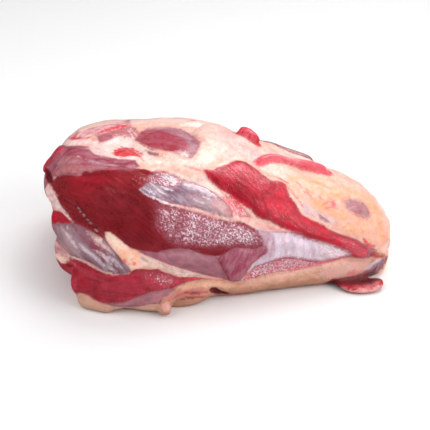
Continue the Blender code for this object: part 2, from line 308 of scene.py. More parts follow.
# The layers' outlines as the camera sees them: x, y, x, y and so on, in pixels from the view's top left.
OUTLINES = {
    "fat_cap": (
        128, 150, 130, 167, 150, 172, 175, 183, 200, 190, 228, 208, 252, 224, 282, 232, 330, 231, 350, 237,
        362, 243, 372, 247, 388, 256,
    ),
    "fat_right": (
        286, 176, 300, 172, 330, 178, 352, 186, 372, 198, 382, 215, 388, 240, 380, 250, 362, 240, 340, 230,
        318, 218, 300, 200, 290, 188,
    ),
    "fat_veil": (
        188, 122, 206, 122, 224, 128, 242, 138, 254, 148, 250, 156, 238, 160, 222, 158, 208, 146, 202, 136,
    ),
    "fat_gold": (196, 152, 204, 148, 214, 152, 216, 160, 208, 168, 200, 168, 194, 160),
    "fat_bright": (
        136, 158, 146, 153, 152, 155.5, 160, 157, 168, 154.5, 176, 156, 184, 158.5, 192, 158.5, 200, 160,
        205, 166, 196, 168, 184, 165, 172, 165, 158, 163, 146, 163,
    ),
    "fat_top": (180, 121, 192, 119.5, 204, 121, 206, 126, 196, 128, 184, 126),
    "fat_rosy": (212, 132, 226, 128, 240, 136, 256, 146, 252, 154, 238, 150, 222, 144),
    "fat_haze": (246, 150, 254, 150, 262, 155, 256, 160, 246, 157),
    "below_ridge": (
        262, 146, 275, 149, 290, 153, 302, 158, 309, 161, 300, 162, 288, 160, 276, 156, 264, 152,
    ),
    "back": (
        64, 140, 70, 139, 84, 140, 90, 138.5, 93, 135.5, 98, 133, 108, 130, 120, 127, 131, 125, 150, 123,
        175, 123.5, 195, 121.5, 205, 121,
    ),
    "back_low": (
        66, 139, 75, 133, 88, 129, 100, 126, 115, 123, 130, 120, 131, 125, 120, 127, 108, 130, 98, 133,
        93, 135, 90, 137, 78, 139,
    ),
    "seam": (
        63, 146, 70, 146, 80, 145.5, 88, 147, 90, 151, 94, 154, 103, 156.5, 112, 158, 120, 159, 137, 160,
        152, 160, 150, 150, 142, 144, 130, 139, 125, 135, 116, 137, 105, 142, 101, 143, 98, 140, 95, 136,
        92, 135.5, 90, 138.5, 84, 140, 70, 139, 64, 140,
    ),
    "seam_right": (
        98, 143, 106, 141, 116, 136.5, 124, 133.5, 130, 137, 138, 142, 148, 147, 158, 152, 160, 158,
        148, 161, 130, 160, 114, 158, 103, 154, 98, 149,
    ),
    "back_small": (
        96, 135, 102, 131.5, 112, 128.5, 125, 126, 133, 127.5, 140, 132, 137, 138, 131, 139.5, 125, 137,
        118, 136, 112, 138.5, 105, 141, 100, 142, 98, 139,
    ),
    "peach_bump": (91, 137, 94, 134.5, 97, 137, 98, 141, 96, 143, 92, 142),
    "wound": (
        112, 152.5, 118, 147.5, 125.5, 147, 133, 149, 138, 151, 143, 154, 142, 157, 133, 156, 124, 157,
        115.5, 156,
    ),
    "oval": (
        135, 140, 138, 135, 141, 131.5, 147, 129, 158, 127.9, 170, 127.9, 181, 129.6, 189, 134, 196, 138.6,
        200, 142.5, 199, 147.5, 196, 154, 191, 158, 185, 157, 180, 153.5, 175, 153, 164, 151, 158, 149.5,
        152, 148.5, 143, 145, 137, 141.5,
    ),
    "oval_film": (
        146, 129, 158, 127.9, 170, 128, 181, 129.6, 189, 134, 196, 138.6, 200, 142, 199, 147, 196, 154,
        191, 158, 185, 157.5, 182, 155, 186, 151, 189, 146, 185, 140, 176, 134, 162, 130.5,
    ),
    "oval_gloss": (174, 151.5, 180, 150.5, 188, 153.5, 191, 156.5, 186, 157.5, 180, 155.5, 175, 153.5),
    "oval_grey": (145, 150, 149, 150.5, 154, 152.5, 159, 153, 159, 156.5, 155, 156.5, 149, 154.5),
    "upper": (
        60, 152, 66, 150, 70, 147, 80, 146, 88, 147, 90, 151, 93, 154, 97, 157, 103, 158, 110, 160,
        128, 160, 136, 160.5, 137, 163, 140, 166, 138, 168, 125, 169, 110, 169.5, 95, 170.5, 90, 172.5,
        85, 171, 80, 176, 65, 175, 57, 177, 50, 173,
    ),
    "upper_film": (
        52, 172, 58, 168, 66, 166, 78, 165, 90, 166, 102, 165, 112, 167, 100, 169.5, 90, 172, 85, 171,
        80, 175, 65, 174.5, 57, 176,
    ),
    "upper_pale": (56, 160, 64, 157, 72, 156, 80, 158, 84, 162, 76, 164, 66, 165, 58, 166),
    "upper_edge": (
        64, 146, 65, 150, 61, 155, 55, 159, 50, 163, 47, 168, 44, 172, 43, 168, 44, 164, 50, 158, 56, 153,
    ),
    "recess": (43, 168, 47, 168.5, 50, 171, 52, 176, 53, 181, 51, 184, 47, 182, 44, 177),
    "main": (
        50, 184, 57, 177, 65, 175, 80, 176, 85, 171, 90, 172.5, 95, 170.5, 110, 169.5, 130, 168.5, 145, 169,
        150, 171, 170, 180, 200, 190, 228, 206, 240, 220, 250, 225, 257, 229, 262, 234, 264, 240, 263, 246,
        255, 249, 246, 249, 238, 247.5, 232, 249, 227, 252, 219, 256, 212, 256, 203, 255, 190, 250,
        180, 248.5, 170, 249.5, 162, 251, 157, 253, 152, 252, 140, 250.5, 131, 248, 126, 245, 115, 236,
        106, 232, 105, 238, 100, 232, 95, 226, 88, 219, 82, 212, 76, 206, 72, 202, 66, 199, 60, 197,
        56, 193, 52, 189,
    ),
    "main_dark": (
        96, 192, 112, 187, 130, 188, 148, 194, 160, 206, 160, 226, 152, 240, 136, 244, 122, 236, 108, 226,
        98, 210,
    ),
    "main_light": (
        50, 184, 58, 178, 66, 176, 82, 177, 100, 175, 114, 177, 122, 180, 108, 186, 100, 190, 90, 198,
        80, 203, 70, 200, 62, 197, 55, 192,
    ),
    "main_sheen": (
        156, 206, 170, 205, 185, 208, 200, 213, 218, 219, 240, 223, 255, 229, 263, 238, 259, 247, 240, 246,
        226, 249, 205, 250, 190, 248, 178, 246, 168, 240, 158, 226,
    ),
    "sheen_core": (
        186, 213, 204, 214, 222, 221, 244, 226, 256, 234, 256, 242, 240, 243, 222, 245, 204, 245, 192, 238,
        184, 226,
    ),
    "sheen_red": (198, 247, 210, 248, 221, 246, 227, 250, 220, 255, 208, 254.5, 200, 252),
    "gusset": (
        150, 171, 160, 170, 176, 171, 190, 176, 202, 172, 210, 180, 220, 189, 230, 195, 237, 201, 242, 207,
        246, 211, 252, 216, 258, 222, 266, 226, 282, 231, 268, 232, 257, 230, 250, 226, 240, 221, 232, 219,
        231, 213, 228, 206, 223, 200, 219, 195, 213, 190, 205, 186, 195, 183, 186, 181, 179, 181, 176, 177,
        168, 174, 160, 172.5,
    ),
    "strip_below": (
        160, 201, 168, 202.5, 178, 204.5, 186, 206, 195, 207.5, 203, 210, 214, 213.5, 224, 216.5, 233, 218,
        238, 221, 232, 222, 218, 219.5, 204, 215, 190, 210.5, 174, 206, 162, 203,
    ),
    "gusset_red": (
        222, 194, 230, 197, 237, 201, 242, 207, 246, 211, 250, 216, 252, 220, 246, 220, 240, 218, 235, 214,
        231, 208, 226, 201,
    ),
    "gusset_ridge": (
        236, 218, 244, 217, 252, 217, 258, 222, 266, 226, 276, 228, 282, 230, 268, 231, 260, 230, 254, 227,
        244, 222,
    ),
    "strip_bead_highlights": (
        148, 176, 153, 173, 160, 171.5, 168, 173, 176, 176.5, 186, 180.5, 186, 186, 176, 190, 166, 188,
        157, 186, 150, 184,
    ),
    "strip": (
        139, 189, 146, 184, 151, 182.5, 158, 184.5, 166, 187, 175, 187, 181, 184, 187, 181.5, 195, 183,
        205, 187, 213, 191.5, 219, 196, 225, 201, 230, 207, 233, 213, 233, 218, 224, 216, 214, 213,
        203, 209.5, 195, 207, 186, 205.5, 178, 204, 168, 202, 160, 200, 150, 198, 143, 194,
    ),
    "strip_end": (186, 196, 196, 193, 208, 196, 219, 201, 227, 208, 230, 215, 220, 213, 206, 208, 194, 204),
    "strip_top": (184, 182, 194, 184, 204, 188, 212, 193, 218, 198, 212, 197, 202, 192, 192, 188, 184, 186),
    "strip_gloss": (162, 175, 168, 175, 174, 178, 179, 182, 177, 185, 170, 183, 164, 179),
    "strip_fade": (214, 197, 224, 202, 231, 208, 236, 216, 228, 218, 219, 212, 213, 205),
    "bright": (
        202, 170.5, 206, 169.5, 215, 170, 216, 168, 228, 164, 235, 160.5, 240, 160.5, 246, 162, 255, 168,
        263, 175, 270, 180, 282, 182, 286, 185, 290, 197, 297, 206, 302, 215, 310, 219, 322, 224, 330, 230,
        340, 235, 350, 238, 358, 240, 362, 244, 368, 248, 369, 256, 360, 259, 352, 257.5, 349, 253,
        340, 248, 328, 243, 310, 240, 300, 234, 292, 232, 281, 228, 270, 221, 262, 219.5, 257, 217,
        250, 209, 240, 202, 230, 195, 220, 189, 210, 180,
    ),
    "bright_highlight": (
        222, 170, 234, 165, 244, 166, 254, 173, 262, 182, 260, 190, 248, 184, 236, 180, 226, 177,
    ),
    "bright_shade": (
        204, 172, 214, 176, 226, 186, 240, 195, 252, 204, 262, 216, 252, 209, 238, 202, 228, 194, 216, 187,
        208, 179,
    ),
    "bright_right": (
        262, 196, 284, 188, 290, 200, 296, 208, 302, 217, 318, 225, 334, 234, 352, 241, 366, 250, 364, 256,
        352, 252, 338, 246, 320, 238, 300, 230, 280, 222, 268, 212,
    ),
    "bright_tip": (340, 238, 352, 240, 362, 246, 368, 250, 368, 256, 358, 258, 348, 250),
    "silver_right": (
        257, 229, 263, 232, 270, 231, 280, 232, 290, 233, 298, 236, 305, 239, 315, 241, 325, 244, 330, 248,
        340, 250, 347, 254, 340, 257, 330, 258, 322, 261, 305, 259, 290, 256, 283, 257, 270, 261, 257, 266,
        248, 272, 252, 264, 262, 256, 268, 250, 264, 240,
    ),
    "silver_pink": (257, 231, 266, 232, 274, 236, 276, 246, 270, 256, 262, 258, 268, 249),
    "silver_tip": (318, 243, 330, 245, 342, 250, 350, 254, 342, 258, 330, 259, 320, 256),
    "middle": (
        219, 257, 227, 252, 232, 249, 238, 247.5, 246, 249, 255, 249, 262, 246, 265, 246, 268, 250,
        267, 253, 262, 256, 257, 260, 252, 264, 248, 270, 244, 274, 238, 278, 233, 281, 230, 281, 226, 276,
        222, 268, 219, 262, 217, 258,
    ),
    "middle_gloss": (226, 264, 230, 263, 233, 266, 233, 270, 229, 271, 226, 268),
    "red_strip": (
        244, 278, 250, 273, 255, 266, 262, 265, 270, 262, 283, 258, 300, 259, 312, 262, 322, 262, 332, 260,
        345, 256, 352, 258, 342, 259.5, 333, 262.5, 325, 265, 315, 267.5, 305, 269.5, 295, 271, 280, 272.5,
        268, 274, 260, 276, 252, 280, 246, 281,
    ),
    "band": (
        137, 250, 140, 250.5, 152, 252, 157, 253, 162, 251, 170, 249.5, 180, 248.5, 190, 250, 203, 255,
        212, 256, 218, 257, 219, 262, 222, 268, 226, 276, 228, 280, 220, 278, 210, 276, 200, 274, 190, 271,
        178, 268, 170, 265, 160, 261, 150, 257, 145, 255,
    ),
    "tendon": (
        105, 236, 106, 232, 110, 232.5, 115, 236, 120, 240, 126, 245, 131, 249, 137, 251, 145, 255,
        150, 257, 160, 261, 170, 265, 178, 268, 190, 271, 200, 274, 210, 276, 220, 278, 228, 281, 210, 279,
        196, 277, 186, 278, 178, 277, 170, 274, 163, 272, 158, 269, 150, 270, 142, 269, 135, 269.5,
        131, 272, 127, 266, 122, 260, 118, 255, 113, 250, 110, 246, 106, 240,
    ),
    "tendon_grey": (
        140, 254, 150, 258, 160, 262, 170, 266, 184, 270, 200, 274.5, 214, 277.5, 200, 277, 186, 277,
        176, 275, 168, 272, 160, 268, 148, 267, 140, 262,
    ),
    "tendon_tip": (105, 233, 110, 233, 118, 239, 126, 246, 124, 250, 116, 247, 109, 241),
    "sliver": (
        54, 192, 58, 195, 66, 199, 73, 203, 80, 210, 88, 218, 95, 226, 101, 233, 104, 238, 98, 236, 90, 231,
        80, 226, 72.5, 222, 70, 217.5, 66, 212, 61.5, 206, 58.5, 201, 56, 197,
    ),
    "edge_fat": (
        49, 184, 52, 188, 54.5, 192, 57, 197, 58.5, 201, 61.5, 206, 66, 212, 70, 217.5, 72.5, 222, 70, 221,
        65.5, 216, 61, 211.5, 57.5, 210.5, 54, 211, 52, 205,
    ),
    "left_red": (52, 210, 55, 211, 58, 211, 63, 214, 68, 219, 72, 222, 68, 224, 62, 224, 58, 222, 54, 225),
    "silver_low": (
        56, 225, 62, 224, 72, 223, 80, 226, 90, 231, 97, 236, 105, 240, 107, 243, 112, 249, 118, 255,
        122, 260, 128, 266, 131, 270, 129, 273, 123, 274.5, 117, 274, 110, 272, 104, 271, 98, 268, 92, 264,
        86, 261, 80, 259, 73, 258, 70, 255, 64, 249, 60, 243, 56, 239, 54.5, 232,
    ),
    "silver_low_left": (56, 226, 64, 225, 70, 232, 76, 242, 80, 252, 74, 256, 66, 250, 58, 240),
    "silver_low_dark": (
        76, 226, 86, 230, 96, 237, 103, 244, 109, 251, 112, 258, 106, 259, 98, 254, 89, 247, 80, 238,
    ),
    "silver_low_top": (
        88, 232, 94, 234.5, 100, 238, 105, 243, 111, 250, 114, 255, 108, 251, 101, 246, 94, 241,
    ),
    "left_mauve": (54, 238, 56, 240, 60, 246, 66, 253, 70, 258, 58, 255, 53, 253),
    "left_cream": (53, 253, 58, 254, 64, 256, 70, 259, 69, 263, 66, 265, 62, 264, 58, 260, 54, 259),
    "left_under": (54, 259, 57, 260, 61, 264, 62, 267, 58, 267),
    "red_low": (
        70, 260, 75, 258.5, 82, 260, 88, 264, 95, 269, 101, 272, 105, 273, 112, 273, 118, 275, 126, 275,
        130, 274, 132, 271, 135, 269.5, 142, 269, 150, 270, 158, 269, 163, 272, 170, 274, 178, 277,
        196, 277, 196, 280, 190, 281, 184, 282.5, 178, 285, 173, 289, 165, 289.5, 150, 292, 138, 297,
        130, 300, 123, 302, 115, 303, 108, 303, 100, 302, 95, 300, 90, 296, 86, 294, 80, 293, 75, 293,
    ),
    "low_wet_highlights": (140, 271, 152, 270, 163, 273, 174, 277, 176, 283, 166, 288, 154, 288, 144, 280),
    "left_hole": (66, 262, 71, 262, 73, 266, 70, 268, 66, 266),
    "rim_low": (
        75, 293, 80, 293, 87, 295, 92, 299, 97, 302, 105, 304.5, 112, 306, 120, 307, 130, 307, 140, 306,
        150, 304, 158, 304, 162, 305,
    ),
    "mauve_low": (
        113, 304, 123, 303, 131, 300, 140, 297, 148, 294, 158, 292, 165, 290, 173, 289, 176, 287, 172, 293,
        168, 297, 162, 298, 160, 303, 150, 304, 140, 306, 128, 307, 118, 306,
    ),
    "fold": (
        160, 304, 163, 298, 168, 296, 172, 292, 178, 287, 184, 284, 192, 281.5, 200, 279.5, 210, 279,
        220, 280, 228, 281, 235, 282, 242, 281, 252, 279.5, 260, 275.5, 268, 273.5, 280, 272, 295, 270.5,
        305, 269, 315, 267, 325, 264.5, 333, 262, 342, 259, 352, 257.5, 360, 259, 368, 258, 376, 255,
        386, 256,
    ),
    "fold_cream": (
        176, 288, 186, 284, 200, 281.5, 214, 281, 232, 284, 250, 281.5, 262, 277.5, 280, 274.5, 300, 272,
        318, 270, 318, 277, 300, 280, 270, 284, 250, 288, 236, 290, 222, 287, 208, 286, 194, 288, 182, 291,
    ),
    "fold_light": (
        178, 287, 188, 283, 200, 281, 214, 280.5, 228, 282, 236, 285, 228, 289, 214, 286, 200, 287,
        188, 289.5,
    ),
    "fold_pale": (
        320, 267, 334, 264, 348, 260.5, 360, 261, 370, 259, 368, 268, 352, 276, 334, 280, 318, 276,
    ),
    "fold_rosy": (
        246, 279, 262, 277, 278, 273, 294, 270, 312, 265, 330, 261, 344, 258, 347, 262, 332, 267, 314, 271,
        296, 276, 280, 279, 264, 283, 248, 285,
    ),
    "knob": (161, 304, 166, 302, 170, 304, 171, 307, 169, 310, 165, 312, 162, 309),
    "fold_hole": (
        209, 289, 212, 287, 216, 287, 219, 289, 222, 291, 230, 293, 230, 295, 222, 296, 216, 294.5,
        211, 293,
    ),
    "purple": (
        357, 278, 363, 272, 370, 266, 378, 261, 386, 257, 388, 257.5, 388, 262, 386, 268, 381, 272,
        374, 275, 366, 279, 360, 281,
    ),
    "purple_pale": (364, 270, 370, 264, 376, 259, 382, 257, 380, 261, 373, 265, 368, 270),
    "end_cut": (370, 253, 378, 254, 387, 256, 384, 258, 376, 257.5, 370, 256.5),
    "spot": (
        343, 201, 349, 198, 356, 199, 363, 203, 369, 209, 371, 215, 367, 219, 360, 218, 352, 214, 345, 208,
    ),
    "haze": (
        299, 204, 304, 202, 310, 205, 316, 210, 322, 213, 330, 217, 338, 222, 334, 224, 326, 222, 318, 219,
        310, 216, 303, 213,
    ),
    "haze_core": (318, 215, 322, 215, 327, 219, 330, 223, 326, 222, 320, 219),
    "orange_spots": (324, 201, 331, 201, 335, 200, 337, 208, 329, 209, 327, 204),
}

# Where an outline goes on, or lies, over what the camera can't see: u, t, u, t and so on.
HIDDEN = {
    "back_red": (
        -108, 160, -70, 152, -20, 148, 40, 147, 90, 150, 114, 156, 100, 168, 50, 180, 0, 186, -50, 187,
        -95, 182, -114, 172,
    ),
    "back_sheen": (-48, 153, -10, 150, 36, 151, 52, 160, 14, 172, -30, 174, -60, 166),
    "under_red": (-104, 227, -40, 225, 20, 223, 62, 224, 40, 242, -20, 248, -94, 246),
    "back_film": (-96, 201, -50, 200, 0, 199, 40, 195, 64, 204, 30, 214, -20, 220, -70, 222, -102, 214),
    "back_seam": (
        -120, 187, -60, 190, 0, 189, 50, 183, 104, 171, 118, 160, 108, 176, 52, 189, 0, 195, -60, 197,
        -122, 195,
    ),
    "back_fat": (58, 200, 88, 190, 112, 188, 122, 212, 98, 228, 70, 220),
    "cut_end": (-112, 70, -108, 170, -112, 268, -152, 268, -152, 170, -152, 70),
    "under_fat": (-112, -46, 0, -44, 112, -44, 112, -80, 0, -84, -112, -82),
    "tip": (122, -95, 122, 30, 122, 155, 122, 275, 170, 275, 170, 155, 170, 30, 170, -95),
    "fat_cap": (
        128, 0, 165, 0, 165, 134, 110, 134, 60, 130, 40, 128, 0, 126, -40, 124, -80, 122, -105, 112,
    ),
    "back": (0, 108, -20, 120, -60, 126, -100, 124, -122, 116, -126, 104),
    "seam": (-122, 97, -124, 92),
    "upper": (-118, 66, -124, 80),
    "upper_edge": (-122, 80, -124, 92),
    "edge_fat": (-114, 38, -115, 50),
    "left_red": (-117, 26, -117, 38),
    "left_mauve": (-117, 2, -117, 14),
    "left_cream": (-116, -8, -116, 0),
    "left_under": (-114, -18, -116, -9),
    "red_low": (-114, -40, -118, -22),
    "rim_low": (-36, -66, -60, -78, -95, -78, -112, -60),
    "fold": (124, -12, 120, -60, 40, -74, -20, -74, -40, -64),
}

# Narrow marks: width in millimetres, then lines as x, y, x, y and so on, in pixels.
STROKES = {
    "fold_blood": (
        3.6,
        (166, 300, 176, 295, 188, 292, 208, 291),
        (210, 290, 222, 292, 236, 294, 252, 292),
        (346, 274, 356, 271),
        (66, 262, 72, 264, 76, 268),
    ),
    # Painted shade in the film's folds, over shallow grooves.
    "silver_fold_shade": (
        3.0,
        (268, 234, 272, 240, 272, 250, 268, 260),
        (282, 235, 284, 245, 286, 255),
        (290, 236, 293, 246, 292, 256),
        (310, 243, 313, 250, 314, 258),
        (322, 247, 324, 252, 326, 257),
    ),
    # Painted highlights on the film.
    "silver_highlights": (
        2.0,
        (276, 234, 278, 244, 278, 254),
        (297, 242, 298, 250, 299, 258),
        (305, 242, 306, 248, 305, 254),
        (318, 246, 328, 248, 338, 252),
        (332, 255, 340, 254, 347, 252),
    ),
    "wound_cuts": (
        1.8,
        (115, 152.5, 121, 150.5, 126, 150),
        (119, 149, 126, 147.6, 133, 149),
        (130, 150, 137, 153, 142, 157),
        (134, 155, 140, 157, 144, 161),
    ),
    # Painted shade in soft folds and a crease, over shallow grooves.
    "soft_fold_shade": (
        3.4,
        (98, 184, 110, 187.5, 122, 190, 146, 194),
        (100, 211, 115, 214.5, 132, 215.5),
        (56, 193, 64, 198, 74, 204, 86, 216, 98, 230),
        (218, 257, 222, 266, 228, 278),
    ),
    "bright_cracks": (
        1.6,
        (214, 178, 228, 186, 242, 194),
        (252, 196, 258, 198, 265, 199),
        (262, 190, 272, 196, 282, 200),
        (270, 210, 284, 218, 300, 226),
        (300, 222, 318, 231, 336, 240),
        (230, 174, 240, 178, 250, 184),
    ),
    "rosy_lines": (
        1.5,
        (186, 122, 196, 120.5, 205, 120.5),
        (104, 152, 101, 153),
        (185, 166, 195, 169, 202, 171),
        (307, 190, 311, 198),
        (318, 195, 321, 199),
        (351, 272, 352, 274),
        (226, 203, 230, 208, 232, 214),
        (214, 192, 222, 198, 227, 204),
        (150, 172, 160, 171, 172, 173),
        (286, 186, 292, 192, 298, 200, 303, 208),
        (300, 260, 312, 263, 322, 263, 334, 260, 346, 256),
        (262, 224, 272, 229, 286, 232),
        (330, 198, 334, 202, 332, 207),
        (322, 206, 328, 202, 334, 203),
        (325, 209, 331, 207, 337, 209),
        (304, 191, 310, 195, 312, 199),
        (292, 180, 298, 183, 302, 188),
        (160, 288, 172, 284, 184, 280.5, 198, 278.5, 212, 278.5, 226, 280.5),
        (105, 168, 112, 169, 120, 168),
    ),
    "red_streaks": (
        2.4,
        (98, 133, 108, 130, 120, 127, 131, 125),
        (70, 138, 78, 138.5, 85, 138.5, 90, 137),
        (238, 200, 243, 203, 249, 207),
        (276, 177, 282, 180, 288, 184),
        (230, 196, 236, 200, 240, 204),
        (363, 238, 365, 242, 369, 245, 375, 247),
    ),
    "cream_line": (
        2.2,
        (64, 255, 72, 257, 80, 259.5, 88, 263, 96, 268, 104, 272, 110, 273.5, 118, 275),
    ),
    "pale_lines": (
        1.5,
        (297, 245, 298, 252, 299, 258),
        (135, 151, 141, 155, 147, 162),
        (139, 149, 146, 154, 152, 160),
        (88, 148, 95, 149, 102, 150),
        (128, 130, 131, 134, 133, 139),
        (131, 129, 134, 133, 137, 137),
        (126, 137, 131, 140, 135, 142),
    ),
    "strip_darks": (
        1.8,
        (152, 189, 160, 195, 170, 200),
        (168, 186, 178, 191, 188, 196),
        (186, 192, 196, 195, 206, 199),
    ),
    "strip_lines": (
        1.4,
        (139, 189, 148, 196, 159, 200, 168, 204, 178, 207),
        (149, 182, 153, 186, 157, 190, 167, 195.5),
        (182, 184.5, 193, 185.6, 205, 189, 216, 197),
        (191, 197, 198, 201.5, 207, 203.7),
        (202, 197, 207, 198.5, 211.5, 200.3),
        (160, 186, 166, 189, 173, 191),
        (144, 188, 150, 192, 157, 196),
    ),
    # Pale wisps of film with painted highlight streaks.
    "low_wisps_and_highlights": (
        1.2,
        (95, 250, 104, 257, 112, 265),
        (90, 252, 99, 260, 108, 267),
        (102, 253, 112, 261, 121, 269),
        (99, 262, 107, 267, 116, 271),
        (110, 256, 117, 262, 124, 270),
        (63, 229, 70, 238, 77, 248),
        (80, 244, 88, 252, 96, 258),
    ),
    # Painted glints: small highlights along edges.
    "highlight_dots": (
        0.6,
        (77, 207, 79, 209.5),
        (79.5, 211, 80.5, 212),
        (82.5, 213.5, 84.5, 216.5),
        (87, 219, 88, 220.5),
        (89.5, 222, 91.5, 224.5),
        (95, 229, 97.5, 232),
        (166, 196, 168, 197),
        (172, 199, 174, 200),
        (78, 156, 80, 158),
        (67, 226, 68, 230),
    ),
    "grey_lines": (
        1.5,
        (196, 136, 202, 139, 208, 143),
        (240, 155, 247, 160),
        (92, 148, 100, 150),
        (152, 186, 160, 191, 170, 196),
        (90, 162, 104, 165, 120, 166),
        (84, 159, 96, 162, 108, 163),
    ),
    "fold_lines": (
        1.3,
        (168, 301, 172, 299, 176, 296.5, 181, 294, 185, 292.5, 195, 293.5, 205, 292.5, 210, 290),
        (170, 304, 178, 300, 188, 297.5, 200, 297, 210, 296),
        (68, 264, 72, 266, 77, 272, 81, 280, 88, 288),
        (222, 291, 230, 294, 240, 295.5, 253, 292),
    ),
    # Painted shade in creases, slits and along edges, over shallow grooves.
    "crease_shade_lines": (
        1.2,
        (139, 143, 150, 149, 158, 151.5),
        (371, 252, 376, 252.5, 382, 254, 387, 256),
        (95, 160, 106, 163, 118, 164, 130, 164),
        (100, 166, 114, 167, 126, 166),
        (56, 196, 64, 200, 74, 205, 84, 215, 92, 225, 99, 234),
        (217, 257.5, 222, 266, 226, 274, 229, 280),
    ),
    "tendon_spot": (
        2.2,
        (124, 259, 126, 263),
        (133, 262, 136, 265),
    ),
}

# Seams of fat between the muscles' ends on the cut face: half a width, then lines of (y, z) in millimetres.
END_SEAMS = (
    2.4,
    ((-14, 52), (4, 50), (16, 47), (30, 55), (44, 70)),
    ((16, 47), (28, 36), (32, 24), (46, 21), (62, 20)),
    ((30, 30), (16, 23), (2, 21), (-16, 20)),
)
END_FROM = -104.0  # the cut face lies beyond this x

# Scraps that stand on the meat: points of the middle line with the radius of what is painted, in millimetres.
SCRAPS = {
    "curl": ((17, 26, 93.5, 6.4), (23, 22, 91, 6.0), (30, 17, 88, 4.6)),
    "ridge": ((27, 30, 80, 3.6), (48, 29, 75, 4.0), (72, 24, 69, 3.2)),
    "worm": (
        (29, -9, 85, 3.8), (37, -1, 84, 5.0), (46, 1.3, 82, 3.8), (54, -0.7, 80, 3.4), (63, 1.3, 77.5, 4.8),
        (72, 4, 74.5, 6.2), (81, 7, 70, 6.4),
    ),
}

# The flap is what stands out in front below this height, from this x on. Its parts lie between two lines, and
# their y in millimetres is given at four places along x.
FLAP_TOP = 9.0
FLAP_FROM = 80.0
FLAP_X = (80, 97, 111, 124)
FLAP_PARTS = {
    "flap": ((-36, -38, -37, -32), (-70, -70, -70, -70)),
    "flap_shadow": ((-34, -36, -35, -30), (-45, -51, -50, -43)),
    "flap_rim": ((-46, -53, -53, -46), (-70, -70, -70, -70)),
}


class Layer(NamedTuple):
    """A painted layer. Its lengths are in millimetres."""

    name: str
    tissue: str  # none where the layer only tints
    tone: str
    other: str  # a second tone that mottles the first
    opacity: float
    soft: float  # half the width over which its edge fades
    ragged: float  # how much noise moves its edge
    raised: float = 0.0  # how high it stands, or how deep it lies below 0
    groove: float = 0.0  # share of the full depth of a groove along its edge
    angle: float = 0.0  # degrees from along the shank to its fibres


